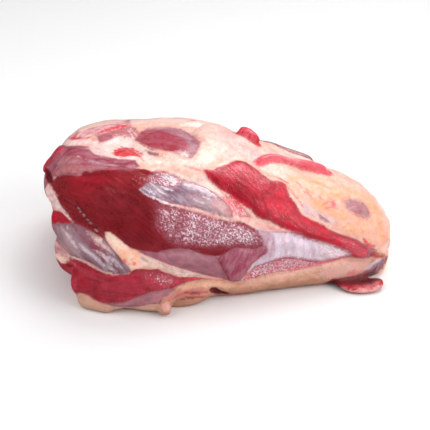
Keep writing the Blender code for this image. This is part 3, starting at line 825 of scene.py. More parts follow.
# The layers, from the lowest up.
LAYERS = [Layer(*row) for row in (
    ("back_red", "muscle", "back_red", "dark_red", 0.95, 1.4, 1.4, 0.2, 0.4, 4),
    # Painted sheen on the back, with painted glints.
    ("back_sheen", "beaded", "sheen", "mauve", 0.8, 4.0, 3.0, 0.0, 0.0, 4),
    ("under_red", "muscle", "back_red", "mauve_dark", 0.8, 3.0, 2.0, 0.0, 0.0, -3),
    ("back_film", "silver", "slate_light", "silver", 0.75, 3.0, 2.4, 0.1, 0.0, -3),
    ("back_seam", "fat", "fat_white", "fat_pink", 0.95, 1.2, 1.8, 0.4, 0.2),
    ("back_fat", "fat", "fat", "fat_pink", 0.85, 2.5, 2.4, 0.3),
    ("cut_end", "cut", "cut_red", "bright_red", 0.95, 2.0, 2.0, 0.0, 0.0, 90),
    ("end_seams", "fat", "fat_white", "fat", 0.95, 1.0, 1.6, 0.2),
    ("under_fat", "fat", "shaded_band_fat", "fat_pink", 0.9, 1.5, 2.0, 0.3),
    ("tip", "fat", "fat", "fat_orange", 1.0, 2.0, 2.0, 0.2),
    ("fat_cap", "fat", "fat", "fat_white", 1.0, 0.8, 1.0, 0.3),
    ("fat_right", "fat", "fat_orange", "fat", 0.85, 5.0, 2.0),
    ("fat_veil", "fat", "pink_white", "fat_white", 0.6, 5.0, 3.0),
    ("fat_gold", "fat", "fat_yellow", "pale_cream", 0.6, 4.0, 2.0),
    # Paler fat, partly painted light against the shade of its trough.
    ("fat_bright", "fat", "pale_cream", "fat_white", 0.85, 2.0, 2.0, 0.2),
    # A painted highlight on cream fat.
    ("fat_top", "fat", "pale_cream", "fat_white", 0.5, 4.0, 3.0),
    ("fat_rosy", "fat", "fat_pink", "pink_white", 0.45, 5.0, 3.0),
    ("fat_haze", "fat", "lavender", "fat_white", 0.7, 2.5, 1.5),
    ("below_ridge", "fat", "fat_white", "fat_pink", 0.8, 1.5, 1.0, 0.2),
    ("back", "veiled", "membrane", "peach", 1.0, 1.2, 1.0, 0.0, 0.3, 6),
    ("back_low", "veiled", "back_mauve", "membrane", 0.9, 1.6, 1.2, 0.0, 0.0, 8),
    ("seam", "fat", "seam_pale", "seam_rose", 1.0, 0.7, 1.0, 0.3, 0.3),
    ("seam_right", "fat", "seam_pale", "fat_white", 0.9, 1.4, 1.4, 0.2),
    ("back_small", "tattered", "mauve", "membrane_red", 0.9, 3.0, 3.4, 0.2, 0.0, 10),
    ("peach_bump", "fat", "peach", "fat_pink", 1.0, 0.8, 0.6, 0.8),
    ("wound", "torn", "wound_red", "pink_red", 0.95, 1.2, 2.2, -0.5, 0.2),
    ("oval", "veiled", "oval", "oval_second", 1.0, 1.6, 0.8, 0.3, 0.2, -12),
    ("oval_film", "silver", "oval_film", "mauve", 0.85, 3.6, 1.2, 0.0, 0.0, -12),
    ("oval_gloss", "fat", "pale_cream", "lavender", 0.8, 1.2, 1.6, 0.0, 0.0, -12),
    ("oval_grey", "veiled", "mauve", "upper", 0.9, 1.0, 0.8),
    ("upper", "veiled", "upper", "upper_light", 1.0, 0.9, 0.9, 0.2, 0.4, 4),
    ("upper_film", "tattered", "tatter", "mauve", 0.85, 2.0, 2.0, 0.0, 0.0, -8),
    ("upper_pale", "silver", "film_brown", "mauve", 0.5, 3.0, 2.0, 0.0, 0.0, 20),
    ("upper_edge", "torn", "bright_red", "mauve", 0.9, 1.2, 1.3, 3.0),
    # Painted shade in a recess, over a real dent.
    ("recess", "torn", "deep_red", "hole_shade", 1.0, 0.8, 0.4, -0.6, 0.3),
    ("main", "muscle", "dark_red", "mid_red", 1.0, 0.6, 0.5, 0.2, 0.5, -18),
    ("main_dark", "muscle", "deep_red", "dark_red", 0.7, 6.0, 2.0, 0.0, 0.0, -18),
    ("main_light", "muscle", "mid_red", "bright_red", 0.1, 4.0, 2.0, 0.0, 0.0, -18),
    # Painted sheen over a thin film on the main muscle, with painted glints.
    ("main_sheen", "beaded", "sheen", "mauve", 0.85, 4.0, 3.0, 0.0, 0.0, -14),
    ("sheen_core", "beaded", "mauve", "sheen", 0.5, 4.0, 3.0, 0.0, 0.0, -14),
    ("sheen_red", "muscle", "mid_red", "dark_red", 0.7, 2.0, 1.5, 0.0, 0.0, -14),
    ("gusset", "fat", "gusset", "fat_white", 1.0, 0.7, 0.8, 0.3, 0.2, -30),
    ("strip_below", "fat", "gusset", "fat_pink", 0.8, 1.4, 1.2, 0.3, 0.2, -20),
    ("gusset_red", "beaded", "strip_red", "vivid_red", 0.85, 1.6, 1.8, 0.0, 0.0, -40),
    ("gusset_ridge", "fat", "fat_white", "fat_pink", 1.0, 1.0, 0.8, 0.5, 0.1),
    # Painted glints on beaded film at the strip's end.
    ("strip_bead_highlights", "beaded", "mauve", "sheen", 0.95, 2.0, 1.6, 0.2, 0.0, -20),
    ("strip", "silver", "slate", "slate_light", 1.0, 0.8, 0.7, 0.3, 0.4, -20),
    ("strip_end", "silver", "grey_warm", "lavender", 0.8, 3.0, 2.0, 0.0, 0.0, -30),
    ("strip_top", "silver", "silver_white", "lavender", 0.7, 1.6, 1.6, 0.2, 0.0, -24),
    ("strip_gloss", "beaded", "silver_white", "silver", 0.9, 1.4, 2.8, 0.0, 0.0, -20),
    ("strip_fade", "tattered", "seam_rose", "strip_red", 0.6, 3.5, 3.0, 0.0, 0.0, -30),
    ("bright", "specked", "bright_red", "mid_red", 1.0, 0.9, 0.9, 0.3, 0.2, -35),
    # A painted highlight on the muscle's top, then painted shade along its lower edge over a crease, in a
    # deeper red.
    ("bright_highlight", "specked", "pink_red", "bright_red", 0.6, 4.0, 2.4, 0.0, 0.0, -35),
    ("bright_shade", "muscle", "mid_red", "bright_red", 0.7, 2.0, 1.5, 0.0, 0.0, -35),
    ("bright_right", "specked", "vivid_red", "bright_red", 0.65, 4.0, 2.4, 0.0, 0.0, -25),
    ("bright_tip", "torn", "strip_pink", "pink_red", 0.7, 3.0, 2.0, 0.0, 0.0, -25),
    ("silver_right", "film", "silver", "blue_grey", 1.0, 2.0, 1.6, 0.2, 0.2, 80),
    ("silver_pink", "silver", "lavender", "mauve", 0.7, 3.0, 2.0, 0.0, 0.0, 60),
    # Pale beads of film at the end, with painted glints.
    ("silver_tip", "beaded", "membrane", "silver_white", 0.7, 2.5, 2.0, 0.0, 0.0, -10),
    ("middle", "smooth", "middle", "mauve", 1.0, 0.7, 0.6, 0.3, 0.3, 60),
    ("middle_gloss", "beaded", "lavender", "mauve", 0.5, 1.5, 1.5, 0.0, 0.0, 60),
    ("red_strip", "beaded", "strip_red", "low_red", 1.0, 0.8, 1.0, 0.0, 0.2),
    ("band", "dull", "band", "mauve", 1.0, 0.8, 0.5, 0.2, 0.0, -12),
    ("tendon", "fat", "tendon", "fat_white", 1.0, 0.6, 0.4, 0.4, 0.4, -30),
    ("tendon_grey", "silver", "tendon_grey", "fat_white", 0.75, 1.8, 1.0, 0.0, 0.0, -14),
    ("tendon_tip", "fat", "tendon_tip", "fat_yellow", 0.8, 1.6, 0.6),
    ("sliver", "muscle", "mid_red", "dark_red", 1.0, 0.6, 0.5, 0.2, 0.5, -42),
    ("edge_fat", "sleek", "seam_pale", "fat_pink", 1.0, 0.8, 1.2, 0.3, 0.2),
    ("left_red", "muscle", "bright_red", "mid_red", 1.0, 0.7, 0.6, 0.0, 0.3),
    ("silver_low", "silver", "silver_low", "low_grey", 1.0, 0.8, 0.6, 0.2, 0.4, -38),
    ("silver_low_left", "silver", "low_pale", "film_brown", 0.4, 3.0, 2.0, 0.0, 0.0, -38),
    ("silver_low_dark", "smooth", "mauve_dark", "silver_low", 0.7, 3.5, 1.5, 0.0, 0.0, -38),
    # A painted highlight, partly pale cream fat.
    ("silver_low_top", "fat", "seam_pale", "low_pale", 0.95, 1.2, 1.4, 0.2, 0.0, -42),
    ("left_mauve", "veiled", "membrane", "mauve", 1.0, 0.8, 0.5, 0.0, 0.3),
    ("left_cream", "fat", "tendon_tip", "fat", 1.0, 0.7, 0.6, 0.3, 0.3),
    ("left_under", "muscle", "bright_red", "mid_red", 1.0, 0.8, 0.5, 0.0, 0.2),
    ("red_low", "muscle", "low_red", "mid_red", 1.0, 0.6, 0.7, 0.2, 0.5, 4),
    # Painted glints and sheen on the wet low muscle.
    ("low_wet_highlights", "beaded", "low_red", "low_pink", 0.7, 3.0, 2.5, 0.0, 0.0, 10),
    # Painted shade in a hole, over a real dent.
    ("left_hole", "torn", "hole_shade", "deep_red", 1.0, 0.8, 0.4, -2.4, 0.2),
    ("rim_low", "sleek", "rim_cream", "cream_fat", 1.0, 0.6, 0.8, 0.3, 0.4),
    ("mauve_low", "veiled", "low_mauve", "band", 0.95, 1.4, 1.2, 0.0, 0.1, 8),
    ("fold", "sleek", "shaded_band_fat", "cream_fat", 1.0, 0.7, 0.6, 0.4, 0.4),
    ("fold_cream", "sleek", "cream_fat", "tendon", 0.6, 2.5, 2.0),
    ("fold_light", "sleek", "fold_light", "tendon", 0.8, 2.5, 1.6, 0.2),
    ("fold_pale", "sleek", "fold_pale", "fat_pink", 0.8, 3.0, 2.0),
    ("fold_rosy", "sleek", "fold_light", "seam_rose", 0.5, 2.5, 2.0),
    ("knob", "fat", "rim_cream", "fat_pink", 1.0, 0.7, 0.5, 0.3, 0.2),
    ("fold_blood", "", "membrane_red", "pink_red", 0.6, 1.6, 1.6),
    # Painted shade in a hole, over a real dent.
    ("fold_hole", "torn", "hole_shade", "deep_red", 1.0, 0.7, 0.4, -1.0, 0.3),
    ("purple", "silver", "purple", "mauve_dark", 1.0, 0.8, 0.6, 0.0, 0.3, 30),
    ("purple_pale", "silver", "silver_white", "grey", 0.8, 1.0, 0.6),
    ("end_cut", "muscle", "bright_red", "dark_red", 0.8, 0.9, 0.8, -0.4),
    ("ridge", "veiled", "ridge_brown", "mauve_dark", 1.0, 0.7, 0.5, 0.2, 0.2),
    ("worm", "specked", "worm", "pink_red", 1.0, 1.0, 1.1, 0.3, 0.3, 10),
    ("curl", "specked", "bright_red", "pink_red", 1.0, 0.8, 0.5, 0.0, 0.2, 30),
    ("spot", "silver", "purple", "mauve", 0.85, 3.0, 1.4),
    ("haze", "silver", "lavender", "fat_white", 0.9, 2.4, 2.0, 0.0, 0.0, -30),
    ("haze_core", "silver", "purple", "mauve", 0.9, 1.4, 1.0, 0.0, 0.0, -30),
    ("orange_spots", "fat", "peach", "pink_red", 0.6, 2.0, 2.0),
    ("flap", "specked", "flap_red", "bright_red", 1.0, 0.8, 0.6),
    ("flap_rim", "", "flap_pink", "fat_pink", 0.85, 1.0, 1.6, 0.3),
    ("flap_shadow", "", "flap_black", "deep_red", 0.9, 1.6, 1.0),
    ("silver_fold_shade", "", "slate", "mauve", 0.3, 2.4, 0.6, -0.4),
    ("silver_highlights", "", "silver_white", "blue_grey", 0.7, 1.8, 1.0, 0.2),
    ("wound_cuts", "", "dark_red", "vivid_red", 0.75, 0.8, 0.8, -0.4),
    ("soft_fold_shade", "", "deep_red", "dark_red", 0.4, 2.4, 0.3, -0.3),
    ("bright_cracks", "", "deep_red", "dark_red", 0.5, 1.0, 1.4, -0.2),
    ("rosy_lines", "", "pink_red", "vivid_red", 0.6, 1.0, 1.2),
    ("red_streaks", "", "vivid_red", "bright_red", 0.85, 0.9, 1.0),
    ("cream_line", "", "tendon_tip", "fat_pink", 0.8, 0.8, 0.8, 0.2),
    ("pale_lines", "", "fat_white", "silver_white", 0.8, 0.8, 1.0, 0.2),
    ("strip_darks", "", "upper", "slate", 0.45, 1.4, 1.0, -0.2),
    ("strip_lines", "", "lavender_white", "silver_white", 0.85, 0.6, 0.5, 0.25),
    ("low_wisps_and_highlights", "", "silver_white", "silver", 0.6, 0.9, 1.0, 0.1),
    ("highlight_dots", "", "silver_white", "fat_white", 0.9, 0.5, 0.3, 0.1),
    ("grey_lines", "", "grey", "lavender", 0.6, 0.9, 1.0),
    ("fold_lines", "", "dark_red", "bright_red", 0.85, 0.7, 0.8, -0.5),
    ("crease_shade_lines", "", "deep_red", "dark_red", 0.75, 0.7, 0.4, -0.4),
    ("tendon_spot", "", "vivid_red", "pink_red", 0.7, 0.9, 0.9),
)]


def linear(tone):
    """A tone's linear colour for a shader, by the sRGB formula."""
    shares = [value / 255 for value in TONES[tone]]
    return tuple(s / 12.92 if s <= 0.04045 else ((s + 0.055) / 1.055) ** 2.4 for s in shares) + (1.0,)


def link(item):
    """Puts an object into the scene and gives it back."""
    bpy.context.scene.collection.objects.link(item)
    return item


def make_camera():
    data = bpy.data.cameras.new("camera")
    data.lens = LENS
    data.sensor_width = SENSOR
    data.shift_x = SHIFT_PIXELS / FRAME_SIDE
    data.clip_end = CLIP_END
    camera = link(bpy.data.objects.new("camera", data))
    tilt = math.radians(TILT)
    back = Vector((0, -math.cos(tilt), math.sin(tilt)))
    camera.location = Vector(AIM) + back * AWAY
    camera.rotation_euler = (-back).to_track_quat("-Z", "Y").to_euler()
    bpy.context.scene.camera = camera
    bpy.context.view_layer.update()
    return camera


def fine_mesh(solid):
    """A fine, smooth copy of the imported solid's mesh."""
    copy = link(bpy.data.objects.new("copy", solid.data.copy()))
    remesh = copy.modifiers.new("Fine", "REMESH")
    remesh.mode = "VOXEL"
    remesh.voxel_size = VOXEL * MM
    smooth = copy.modifiers.new("Smooth", "SMOOTH")
    smooth.factor = SMOOTHING_FACTOR
    smooth.iterations = SMOOTHING
    graph = bpy.context.evaluated_depsgraph_get()
    mesh = bpy.data.meshes.new_from_object(copy.evaluated_get(graph))
    bpy.data.objects.remove(copy)
    mesh.name = "shank"
    mesh.materials.clear()
    return mesh


def places(points):
    """(u, t, radius) of points in millimetres, as an array."""
    points = np.atleast_2d(points)
    axis = np.array(AXIS, float)
    y0, z0 = (np.interp(points[:, 0], axis[:, 0], axis[:, i]) for i in (1, 2))
    turn = np.degrees(np.arctan2(points[:, 2] - z0, -(points[:, 1] - y0)))
    turn[turn < -90] += 360
    radius = np.hypot(points[:, 1] - y0, points[:, 2] - z0)
    u = points[:, 0].copy()
    for end, sign in ((axis[0, 0], -1), (axis[-1, 0], 1)):
        past = (u - end) * sign
        out = past > 0
        u[out] = end + sign * ROUND * np.arctan2(past[out], radius[out])
    return np.stack([u, turn, radius], 1)


def pairs(row):
    """The points of a row x, y, x, y and so on."""
    return list(zip(row[::2], row[1::2]))


class Surface:
    """The fine mesh with each vertex's place, and the camera's rays onto it."""

    def __init__(self, mesh, camera):
        self.mesh = mesh
        flat = np.zeros(len(mesh.vertices) * 3, np.float32)
        mesh.vertices.foreach_get("co", flat)
        self.points = flat.reshape(-1, 3).astype(float) / MM
        mesh.vertex_normals.foreach_get("vector", flat)
        self.normals = flat.reshape(-1, 3).astype(float)
        self.edges = np.array([e.vertices[:] for e in mesh.edges])
        self.place = places(self.points)
        faces = [p.vertices[:] for p in mesh.polygons]
        self.tree = BVHTree.FromPolygons([v.co for v in mesh.vertices], faces)
        self.eye = camera.matrix_world.translation.copy()
        self.turned = camera.matrix_world.to_3x3()

    def cast(self, x, y):
        """The point in millimetres that a pixel of the view shows, or the nearest one towards the middle."""
        focal = LENS / SENSOR * FRAME_SIDE
        for _ in range(CAST_TRIES):
            across = (x - FRAME_SIDE / 2 + SHIFT_PIXELS) / focal
            up = (FRAME_SIDE / 2 - y) / focal
            hit = self.tree.ray_cast(self.eye, self.turned @ Vector((across, up, -1)))[0]
            if hit is not None:
                return np.array(hit) / MM
            away = math.hypot(MEAT_MIDDLE[0] - x, MEAT_MIDDLE[1] - y)
            x += (MEAT_MIDDLE[0] - x) / away
            y += (MEAT_MIDDLE[1] - y) / away
        raise ValueError("a point of an outline is far from the meat")

    def chain(self, row, closed):
        """A row of pixels as places, with points between them so that the line follows the surface."""
        pixels = pairs(row)
        dense = []
        for (x0, y0), (x1, y1) in zip(pixels, pixels[1:] + (pixels[:1] if closed else [])):
            steps = max(1, math.ceil(math.hypot(x1 - x0, y1 - y0) / CAST_STEP))
            dense += [(x0 + (x1 - x0) * i / steps, y0 + (y1 - y0) * i / steps) for i in range(steps)]
        if not closed:
            dense.append(pixels[-1])
        return places(np.array([self.cast(x, y) for x, y in dense]))[:, :2]

    def distance(self, line, closed, width=0.0):
        """How far each vertex lies inside a closed line of places, in millimetres, or in a tapered stroke."""
        line = np.array(line, float)
        for i in range(1, len(line)):
            line[i, 1] += 360 * round((line[i - 1, 1] - line[i, 1]) / 360)
        start = line if closed else line[:-1]
        end = np.roll(line, -1, 0) if closed else line[1:]
        best = np.full(len(self.place), -REACH)
        lengths = np.hypot(end[:, 0] - start[:, 0], np.radians(end[:, 1] - start[:, 1]) * ROUND)
        done = np.cumsum(lengths) - lengths
        per_degree = np.radians(self.place[:, 2])
        for shift in (-360, 0, 360):
            u, t = self.place[:, 0], self.place[:, 1] + shift
            margin = REACH / np.maximum(per_degree, THIN)
            near = (u > line[:, 0].min() - REACH) & (u < line[:, 0].max() + REACH)
            near &= (t > line[:, 1].min() - margin) & (t < line[:, 1].max() + margin)
            near = np.nonzero(near)[0]
            if not len(near):
                continue
            u, t, k = u[near][:, None], t[near][:, None], per_degree[near][:, None]
            du, dt = (end - start)[:, 0], (end - start)[:, 1] * k
            length = np.maximum(du**2 + dt**2, TINY)
            share = np.clip(((u - start[:, 0]) * du + (t - start[:, 1]) * k * dt) / length, 0, 1)
            gap_u = u - start[:, 0] - share * du
            gap_t = (t - start[:, 1]) * k - share * dt
            gaps = np.sqrt(gap_u**2 + gap_t**2)
            gap = gaps.min(1)
            if closed:
                crossed = (start[:, 1] > t) != (end[:, 1] > t)
                rise = np.where(np.abs(end[:, 1] - start[:, 1]) < TINY, TINY, end[:, 1] - start[:, 1])
                edge = start[:, 0] + (t - start[:, 1]) / rise * (end - start)[:, 0]
                inside = (crossed & (u < edge)).sum(1) % 2 == 1
                best[near] = np.maximum(best[near], np.where(inside, gap, -gap))
            else:
                nearest = gaps.argmin(1)
                part = share[np.arange(len(near)), nearest]
                along = (done[nearest] + part * lengths[nearest]) / lengths.sum()
                full = np.sqrt(np.sin(math.pi * np.clip(along, *STROKE_PART)))
                best[near] = np.maximum(best[near], width / 2 * full - gap)
        return np.clip(best, -REACH, REACH)

    def smoothed(self, values, times):
        """Values spread over neighbouring vertices."""
        a, b = self.edges.T
        count = np.bincount(self.edges.ravel(), minlength=len(values)).astype(float)
        for _ in range(times):
            near = np.bincount(a, values[b], len(values)) + np.bincount(b, values[a], len(values))
            values = (values + near / count) / 2
        return values

    def keep(self, name, values, kind="FLOAT"):
        """Stores values on the mesh for the material."""
        attribute = self.mesh.attributes.new(name, kind, "POINT")
        key = "value" if kind == "FLOAT" else "vector"
        attribute.data.foreach_set(key, np.asarray(values, np.float32).ravel())


def tube_distance(points, line):
    """How far inside a tube each point is: the line's rows are a place, then the radius there."""
    found = np.full(len(points), -REACH)
    for start, end in zip(line, line[1:]):
        start, step = np.array(start, float), np.subtract(end, start)
        share = np.clip((points - start[:-1]) @ step[:-1] / (step[:-1] @ step[:-1]), 0, 1)
        away = np.linalg.norm(points - start[:-1] - share[:, None] * step[:-1], axis=1)
        found = np.maximum(found, start[-1] + share * step[-1] - away)
    return found


def layer_distance(surface, name):
    """How far inside a layer's shapes each vertex is, in millimetres."""
    if name in STROKES:
        width, *lines = STROKES[name]
        return np.max([surface.distance(surface.chain(line, False), False, width) for line in lines], 0)
    if name in SCRAPS:
        return tube_distance(surface.points, SCRAPS[name])
    if name == "end_seams":
        half, *lines = END_SEAMS
        rows = [[(y, z, half) for y, z in line] for line in lines]
        seams = np.max([tube_distance(surface.points[:, 1:], line) for line in rows], 0)
        return np.minimum(seams, END_FROM - surface.points[:, 0])
    if name in FLAP_PARTS:
        x, y, z = surface.points.T
        back, front = (np.interp(x, FLAP_X, side) for side in FLAP_PARTS[name])
        inside = np.minimum(np.minimum(back - y, y - front), np.minimum(FLAP_TOP - z, x - FLAP_FROM))
        return np.clip(inside, -REACH, REACH)
    line = [surface.chain(OUTLINES[name], name not in HIDDEN)] if name in OUTLINES else []
    line += [np.array(pairs(HIDDEN[name]), float)] if name in HIDDEN else []
    return surface.distance(np.concatenate(line), True)


def smoothstep(low, high, values):
    share = np.clip((values - low) / (high - low), 0, 1)
    return share * share * (3 - 2 * share)


def lumps(points, size, height=1.0):
    """Noise of about -height to height at the points, with lumps of that size in millimetres."""
    return height * np.array([noise.noise(Vector(p)) for p in points / size])


def paint(surface):
    """Keeps each layer's distances and what the tissues are like, and gives their relief in millimetres."""
    points = surface.points
    like = np.tile(np.array(TISSUES["veiled"]), (len(points), 1))
    height = np.zeros(len(points))
    angle = np.zeros(len(points))
    for layer in LAYERS:
        gap = layer_distance(surface, layer.name)
        surface.keep(layer.name, gap)
        soft = max(layer.soft, SOFTEST)
        cover = layer.opacity * smoothstep(-soft, soft, gap)
        if layer.tissue:
            like += cover[:, None] * (np.array(TISSUES[layer.tissue]) - like)
            angle = np.where(cover > layer.opacity / 2, layer.angle, angle)
        if layer.raised > 0 and layer.tissue:
            height += smoothstep(*PAD_EDGE, gap) * (layer.raised - height)
        elif layer.raised:
            height += layer.raised * smoothstep(*MARK_EDGE, gap)
        height -= GROOVE_DEPTH * layer.groove * np.exp(-((gap / GROOVE_WIDTH) ** 2))
    for quality, values in zip(QUALITIES, like.T):
        surface.keep(quality, values)
    along, across = turned_places(surface, angle)
    surface.keep("grain", np.stack([along, across, 0 * along], 1), "FLOAT_VECTOR")
    fibres, film, _, beads, fat = like.T
    for size, most in FAT_LUMPS:
        height += fat * lumps(points, size, most)
    height += fat * lumps(points, *END_LUMPS) * smoothstep(*END_LUMPS_FROM, points[:, 0])
    depth = surface.place[:, 2] * FIBRE_DEPTH_SHARE
    grain = np.stack([along / FIBRE_SIZE[0], across / FIBRE_SIZE[1], depth], 1)
    height += (FIBRE_RELIEF * fibres + FILM_RELIEF * film) * lumps(grain, 1.0)
    height += beads * lumps(points, *BEAD_LUMPS)
    return height


def turned_places(surface, angle):
    """Each vertex's place along and across the fibres, in millimetres."""
    turn = np.radians(angle)
    u, v = surface.place[:, 0], np.radians(surface.place[:, 1]) * ROUND
    return u * np.cos(turn) + v * np.sin(turn), v * np.cos(turn) - u * np.sin(turn)


def creases(surface):
    """How deep each vertex lies below the form round it, in millimetres: negative on bulges."""
    x, y, z = (surface.smoothed(surface.points[:, i], CREASE_SMOOTHING) for i in range(3))
    return ((np.stack([x, y, z], 1) - surface.points) * surface.normals).sum(1)


class Graph:
    """Adds shader nodes in the order in which they are used."""

    def __init__(self, tree):
        self.tree = tree

    def add(self, kind, inputs=(), output=0, **settings):
        node = self.tree.nodes.new("ShaderNode" + kind)
        for key, value in settings.items():
            setattr(node, key, value)
        for key, value in dict(inputs).items():
            if isinstance(value, bpy.types.NodeSocket):
                self.tree.links.new(value, node.inputs[key])
            else:
                node.inputs[key].default_value = value
        return node.outputs[output] if node.outputs else node

    def attribute(self, name, output="Fac"):
        return self.add("Attribute", output=output, attribute_name=name)

    def math(self, operation, *values):
        return self.add("Math", enumerate(values), operation=operation)

    def vector(self, operation, *values):
        return self.add("VectorMath", enumerate(values), operation=operation)

    def times(self, first, *others):
        for other in others:
            first = self.math("MULTIPLY", first, other)
        return first

    def total(self, *terms, start=0.0):
        """The sum of values, each times its factor."""
        found = start
        for value, factor in terms:
            found = self.math("MULTIPLY_ADD", value, factor, found)
        return found

    def spread(self, value, low, high, least=0.0, most=1.0):
        """The value taken smoothly from between low and high to between least and most."""
        names = ("Value", "From Min", "From Max", "To Min", "To Max")
        values = (value, low, high, least, most)
        return self.add("MapRange", zip(names, values), interpolation_type="SMOOTHSTEP")

    def mix(self, share, first, second):
        return self.add("Mix", {0: share, 6: first, 7: second}, 2, data_type="RGBA")

    def noise(self, place, size, detail=2.0, roughness=0.5, distortion=0.0):
        """Noise about 0, from -0.5 to 0.5, with that size of lumps in the place's own unit."""
        values = {"Vector": place, "Scale": 1 / size, "Detail": detail, "Roughness": roughness}
        found = self.add("TexNoise", {**values, "Distortion": distortion}, "Fac")
        return self.math("SUBTRACT", found, 0.5)


class Meat(Graph):
    """The raw meat's nodes: its places, its noises and what paint keeps on the mesh, by name."""

    def __init__(self, tree):
        super().__init__(tree)
        metres = self.add("TexCoord", output="Object")
        self.at = {"place": self.add("VectorMath", {0: metres, "Scale": 1 / MM}, operation="SCALE")}
        grain = self.attribute("grain", "Vector")
        for name, share in GRAINS.items():
            self.at[name] = self.vector("MULTIPLY", grain, (share, 1.0, 0.0))
        for name, (follows, *look) in NOISES.items():
            self.at[name] = self.noise(self.at[follows], *look)
        for name in QUALITIES + ("crease",):
            self.at[name] = self.attribute(name)

    def blend(self, shares, start=0.0):
        """The sum of named values, each times its share."""
        return self.total(*((self.at[name], share) for name, share in shares.items()), start=start)

    def ranged(self, name, value=None):
        """A named value, or the given one, over the range of that name."""
        return self.spread(self.at[name] if value is None else value, *RANGES[name])

    def cells(self):
        """How far a place is from the nearest dry crack between beads of wet film."""
        wander = self.add("TexNoise", {"Vector": self.at["place"], **CELL_WANDER}, "Color")
        bent = self.vector("MULTIPLY_ADD", wander, CELL_BEND, self.at["short_grain"])
        inputs = {"Vector": bent, "Scale": 1 / CELL_SIZE}
        return self.add("TexVoronoi", inputs, "Distance", feature="DISTANCE_TO_EDGE")

    def layered(self):
        """The layers' colours over the bare meat, each with a ragged edge."""
        mottled = {name: self.ranged(name, self.blend(shares)) for name, shares in MOTTLES.items()}
        colour = self.mix(mottled["along"], linear("base"), linear("base_film"))
        colour = self.mix(self.ranged("seam", self.blend(SEAM)), colour, linear("fat"))
        edge = self.blend(EDGE)
        for layer in LAYERS:
            gap = self.math("MULTIPLY_ADD", edge, layer.ragged, self.attribute(layer.name))
            cover = self.spread(gap, -layer.soft, layer.soft, 0.0, layer.opacity)
            kind = mottled[MOTTLED.get(layer.tissue, "veiled")]
            inner = self.mix(kind, linear(layer.tone), linear(layer.other))
            # A crisp edge gets its tissue's rim, on most tissues painted shade as in a crease.
            if layer.tissue and layer.soft < CRISP:
                rim, width, opacity = RIMS[layer.tissue]
                inner = self.mix(self.spread(gap, 0.0, width, opacity, 0.0), inner, linear(rim))
            colour = self.mix(cover, colour, inner)
        return colour

    def detailed(self, colour, cells):
        """The colour with films, veins, painted glints, cracks and streaks."""
        at = self.at
        colour = self.mix(self.times(at["film"], self.ranged("veil")), colour, linear("silver_white"))
        veins = self.ranged("thread", self.math("ABSOLUTE", at["thread"]))
        colour = self.mix(self.times(at["fat"], veins), colour, linear("vein"))
        # Painted highlights: pale glint flecks, thickest where the tissue is beaded.
        colour = self.mix(self.ranged("glints", self.blend(PAINTED_GLINTS)), colour, linear("lavender_white"))
        cracks = self.math("MAXIMUM", self.ranged("cracks", cells), self.ranged("wisps"))
        colour = self.mix(self.times(at["beads"], cracks), colour, linear("dark_red"))
        streaks = self.times(at["fibre"], at["fibres"], STREAKS)
        value = self.math("ADD", self.math("ADD", streaks, 1.0), self.times(at["specks"], SPECKS))
        return self.add("HueSaturation", {"Value": value, "Color": colour})

    def bumped(self, cells):
        """The normal, from noises that count where their quality does."""
        at = {**self.at, "swell": self.ranged("swell", cells)}
        terms = [(self.times(at[noise], at[quality]), share) for noise, quality, share in BUMPS]
        bump = self.total(*terms, (at["pores"], PORES))
        gloss = self.math("MULTIPLY_ADD", at["wet"], *WET_BUMP)
        bump = self.math("ADD", self.times(at["fine"], gloss), bump)
        return self.add("Bump", {"Strength": 1.0, "Distance": BUMP_HEIGHT * MM, "Height": bump})


def meat_material():
    made = bpy.data.materials.new("raw_meat")
    made.use_nodes = True
    made.node_tree.nodes.clear()
    graph = Meat(made.node_tree)
    cells = graph.cells()
    colour = graph.detailed(graph.layered(), cells)
    rough = graph.blend(ROUGHER, ROUGHNESS)
    values = {"Base Color": colour, "Roughness": rough, "Normal": graph.bumped(cells), **SKIN}
    graph.add("OutputMaterial", {"Surface": graph.add("BsdfPrincipled", values)})
    return made


def dress(solid, camera):
    """The shank as it looks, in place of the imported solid."""
    mesh = fine_mesh(solid)
    surface = Surface(mesh, camera)
    surface.keep("crease", creases(surface))
    height = paint(surface)
    height *= smoothstep(*LEVEL_BELOW, surface.points[:, 2])
    moved = (surface.points + surface.normals * height[:, None]) * MM
    moved[:, 2] = np.maximum(moved[:, 2], 0.0)
    mesh.vertices.foreach_set("co", moved.astype(np.float32).ravel())
    mesh.update()
    mesh.shade_smooth()
    mesh.materials.append(meat_material())
    shank = link(bpy.data.objects.new("shank", mesh))
    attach(shank, "root")
    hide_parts("beef_shank")


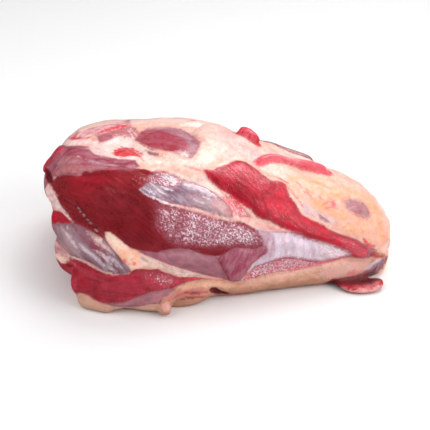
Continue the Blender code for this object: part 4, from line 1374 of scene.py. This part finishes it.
def make_floor():
    """A plain pale floor, which glows faintly far away so that it meets the backdrop."""
    mesh = bpy.data.meshes.new("floor")
    half = FLOOR_HALF
    corners = [(-half, -half, 0), (half, -half, 0), (half, half, 0), (-half, half, 0)]
    mesh.from_pydata(corners, [], [(0, 1, 2, 3)])
    made = bpy.data.materials.new("floor")
    made.use_nodes = True
    shader = made.node_tree.nodes["Principled BSDF"]
    shader.inputs["Base Color"].default_value = FLOOR_COLOUR
    shader.inputs["Roughness"].default_value = FLOOR_ROUGHNESS
    shader.inputs["Emission Color"].default_value = WHITE
    graph = Graph(made.node_tree)
    away = graph.add("VectorMath", {0: graph.add("TexCoord", output="Object")}, "Value", operation="LENGTH")
    made.node_tree.links.new(graph.spread(away, *FLOOR_GLOW), shader.inputs["Emission Strength"])
    mesh.materials.append(made)
    floor = link(bpy.data.objects.new("floor", mesh))
    floor.visible_glossy = False


def make_light(name, azimuth, elevation, side, watts, seen):
    """A square soft light that faces the meat: azimuth 0 is in front of it and 90 on its right."""
    turn, lift = math.radians(azimuth), math.radians(elevation)
    away = Vector((math.sin(turn) * math.cos(lift), -math.cos(turn) * math.cos(lift), math.sin(lift)))
    data = bpy.data.lights.new(name, "AREA")
    data.size = side
    data.energy = watts
    light = link(bpy.data.objects.new(name, data))
    light.location = Vector(AIM) + away * LIGHT_AWAY
    light.rotation_euler = (-away).to_track_quat("-Z", "Y").to_euler()
    light.visible_diffuse = seen == "diffuse"
    light.visible_glossy = seen == "glossy"


def make_world():
    """A pale room that is brighter on the meat's right, like a wide window there."""
    world = bpy.data.worlds.new("world")
    world.use_nodes = True
    graph = Graph(world.node_tree)
    way = graph.add("TexCoord", output="Generated")
    side = graph.add("VectorMath", {0: way, 1: ROOM_BRIGHT_SIDE}, "Value", operation="DOT_PRODUCT")
    lit = graph.spread(side, *ROOM_EDGE, *ROOM_STRENGTHS)
    seen = graph.add("LightPath", output="Is Camera Ray")
    strength = graph.add("Mix", {0: seen, 2: lit, 3: BACKDROP})
    background = world.node_tree.nodes["Background"]
    world.node_tree.links.new(strength, background.inputs["Strength"])
    background.inputs["Color"].default_value = WHITE
    bpy.context.scene.world = world


def main():
    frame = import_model()
    bpy.context.scene.view_settings.view_transform = "Standard"
    camera = make_camera()
    dress(frame["nodes"]["beef_shank"], camera)
    make_floor()
    for name, values in LIGHTS.items():
        make_light(name, *values)
    make_world()


main()
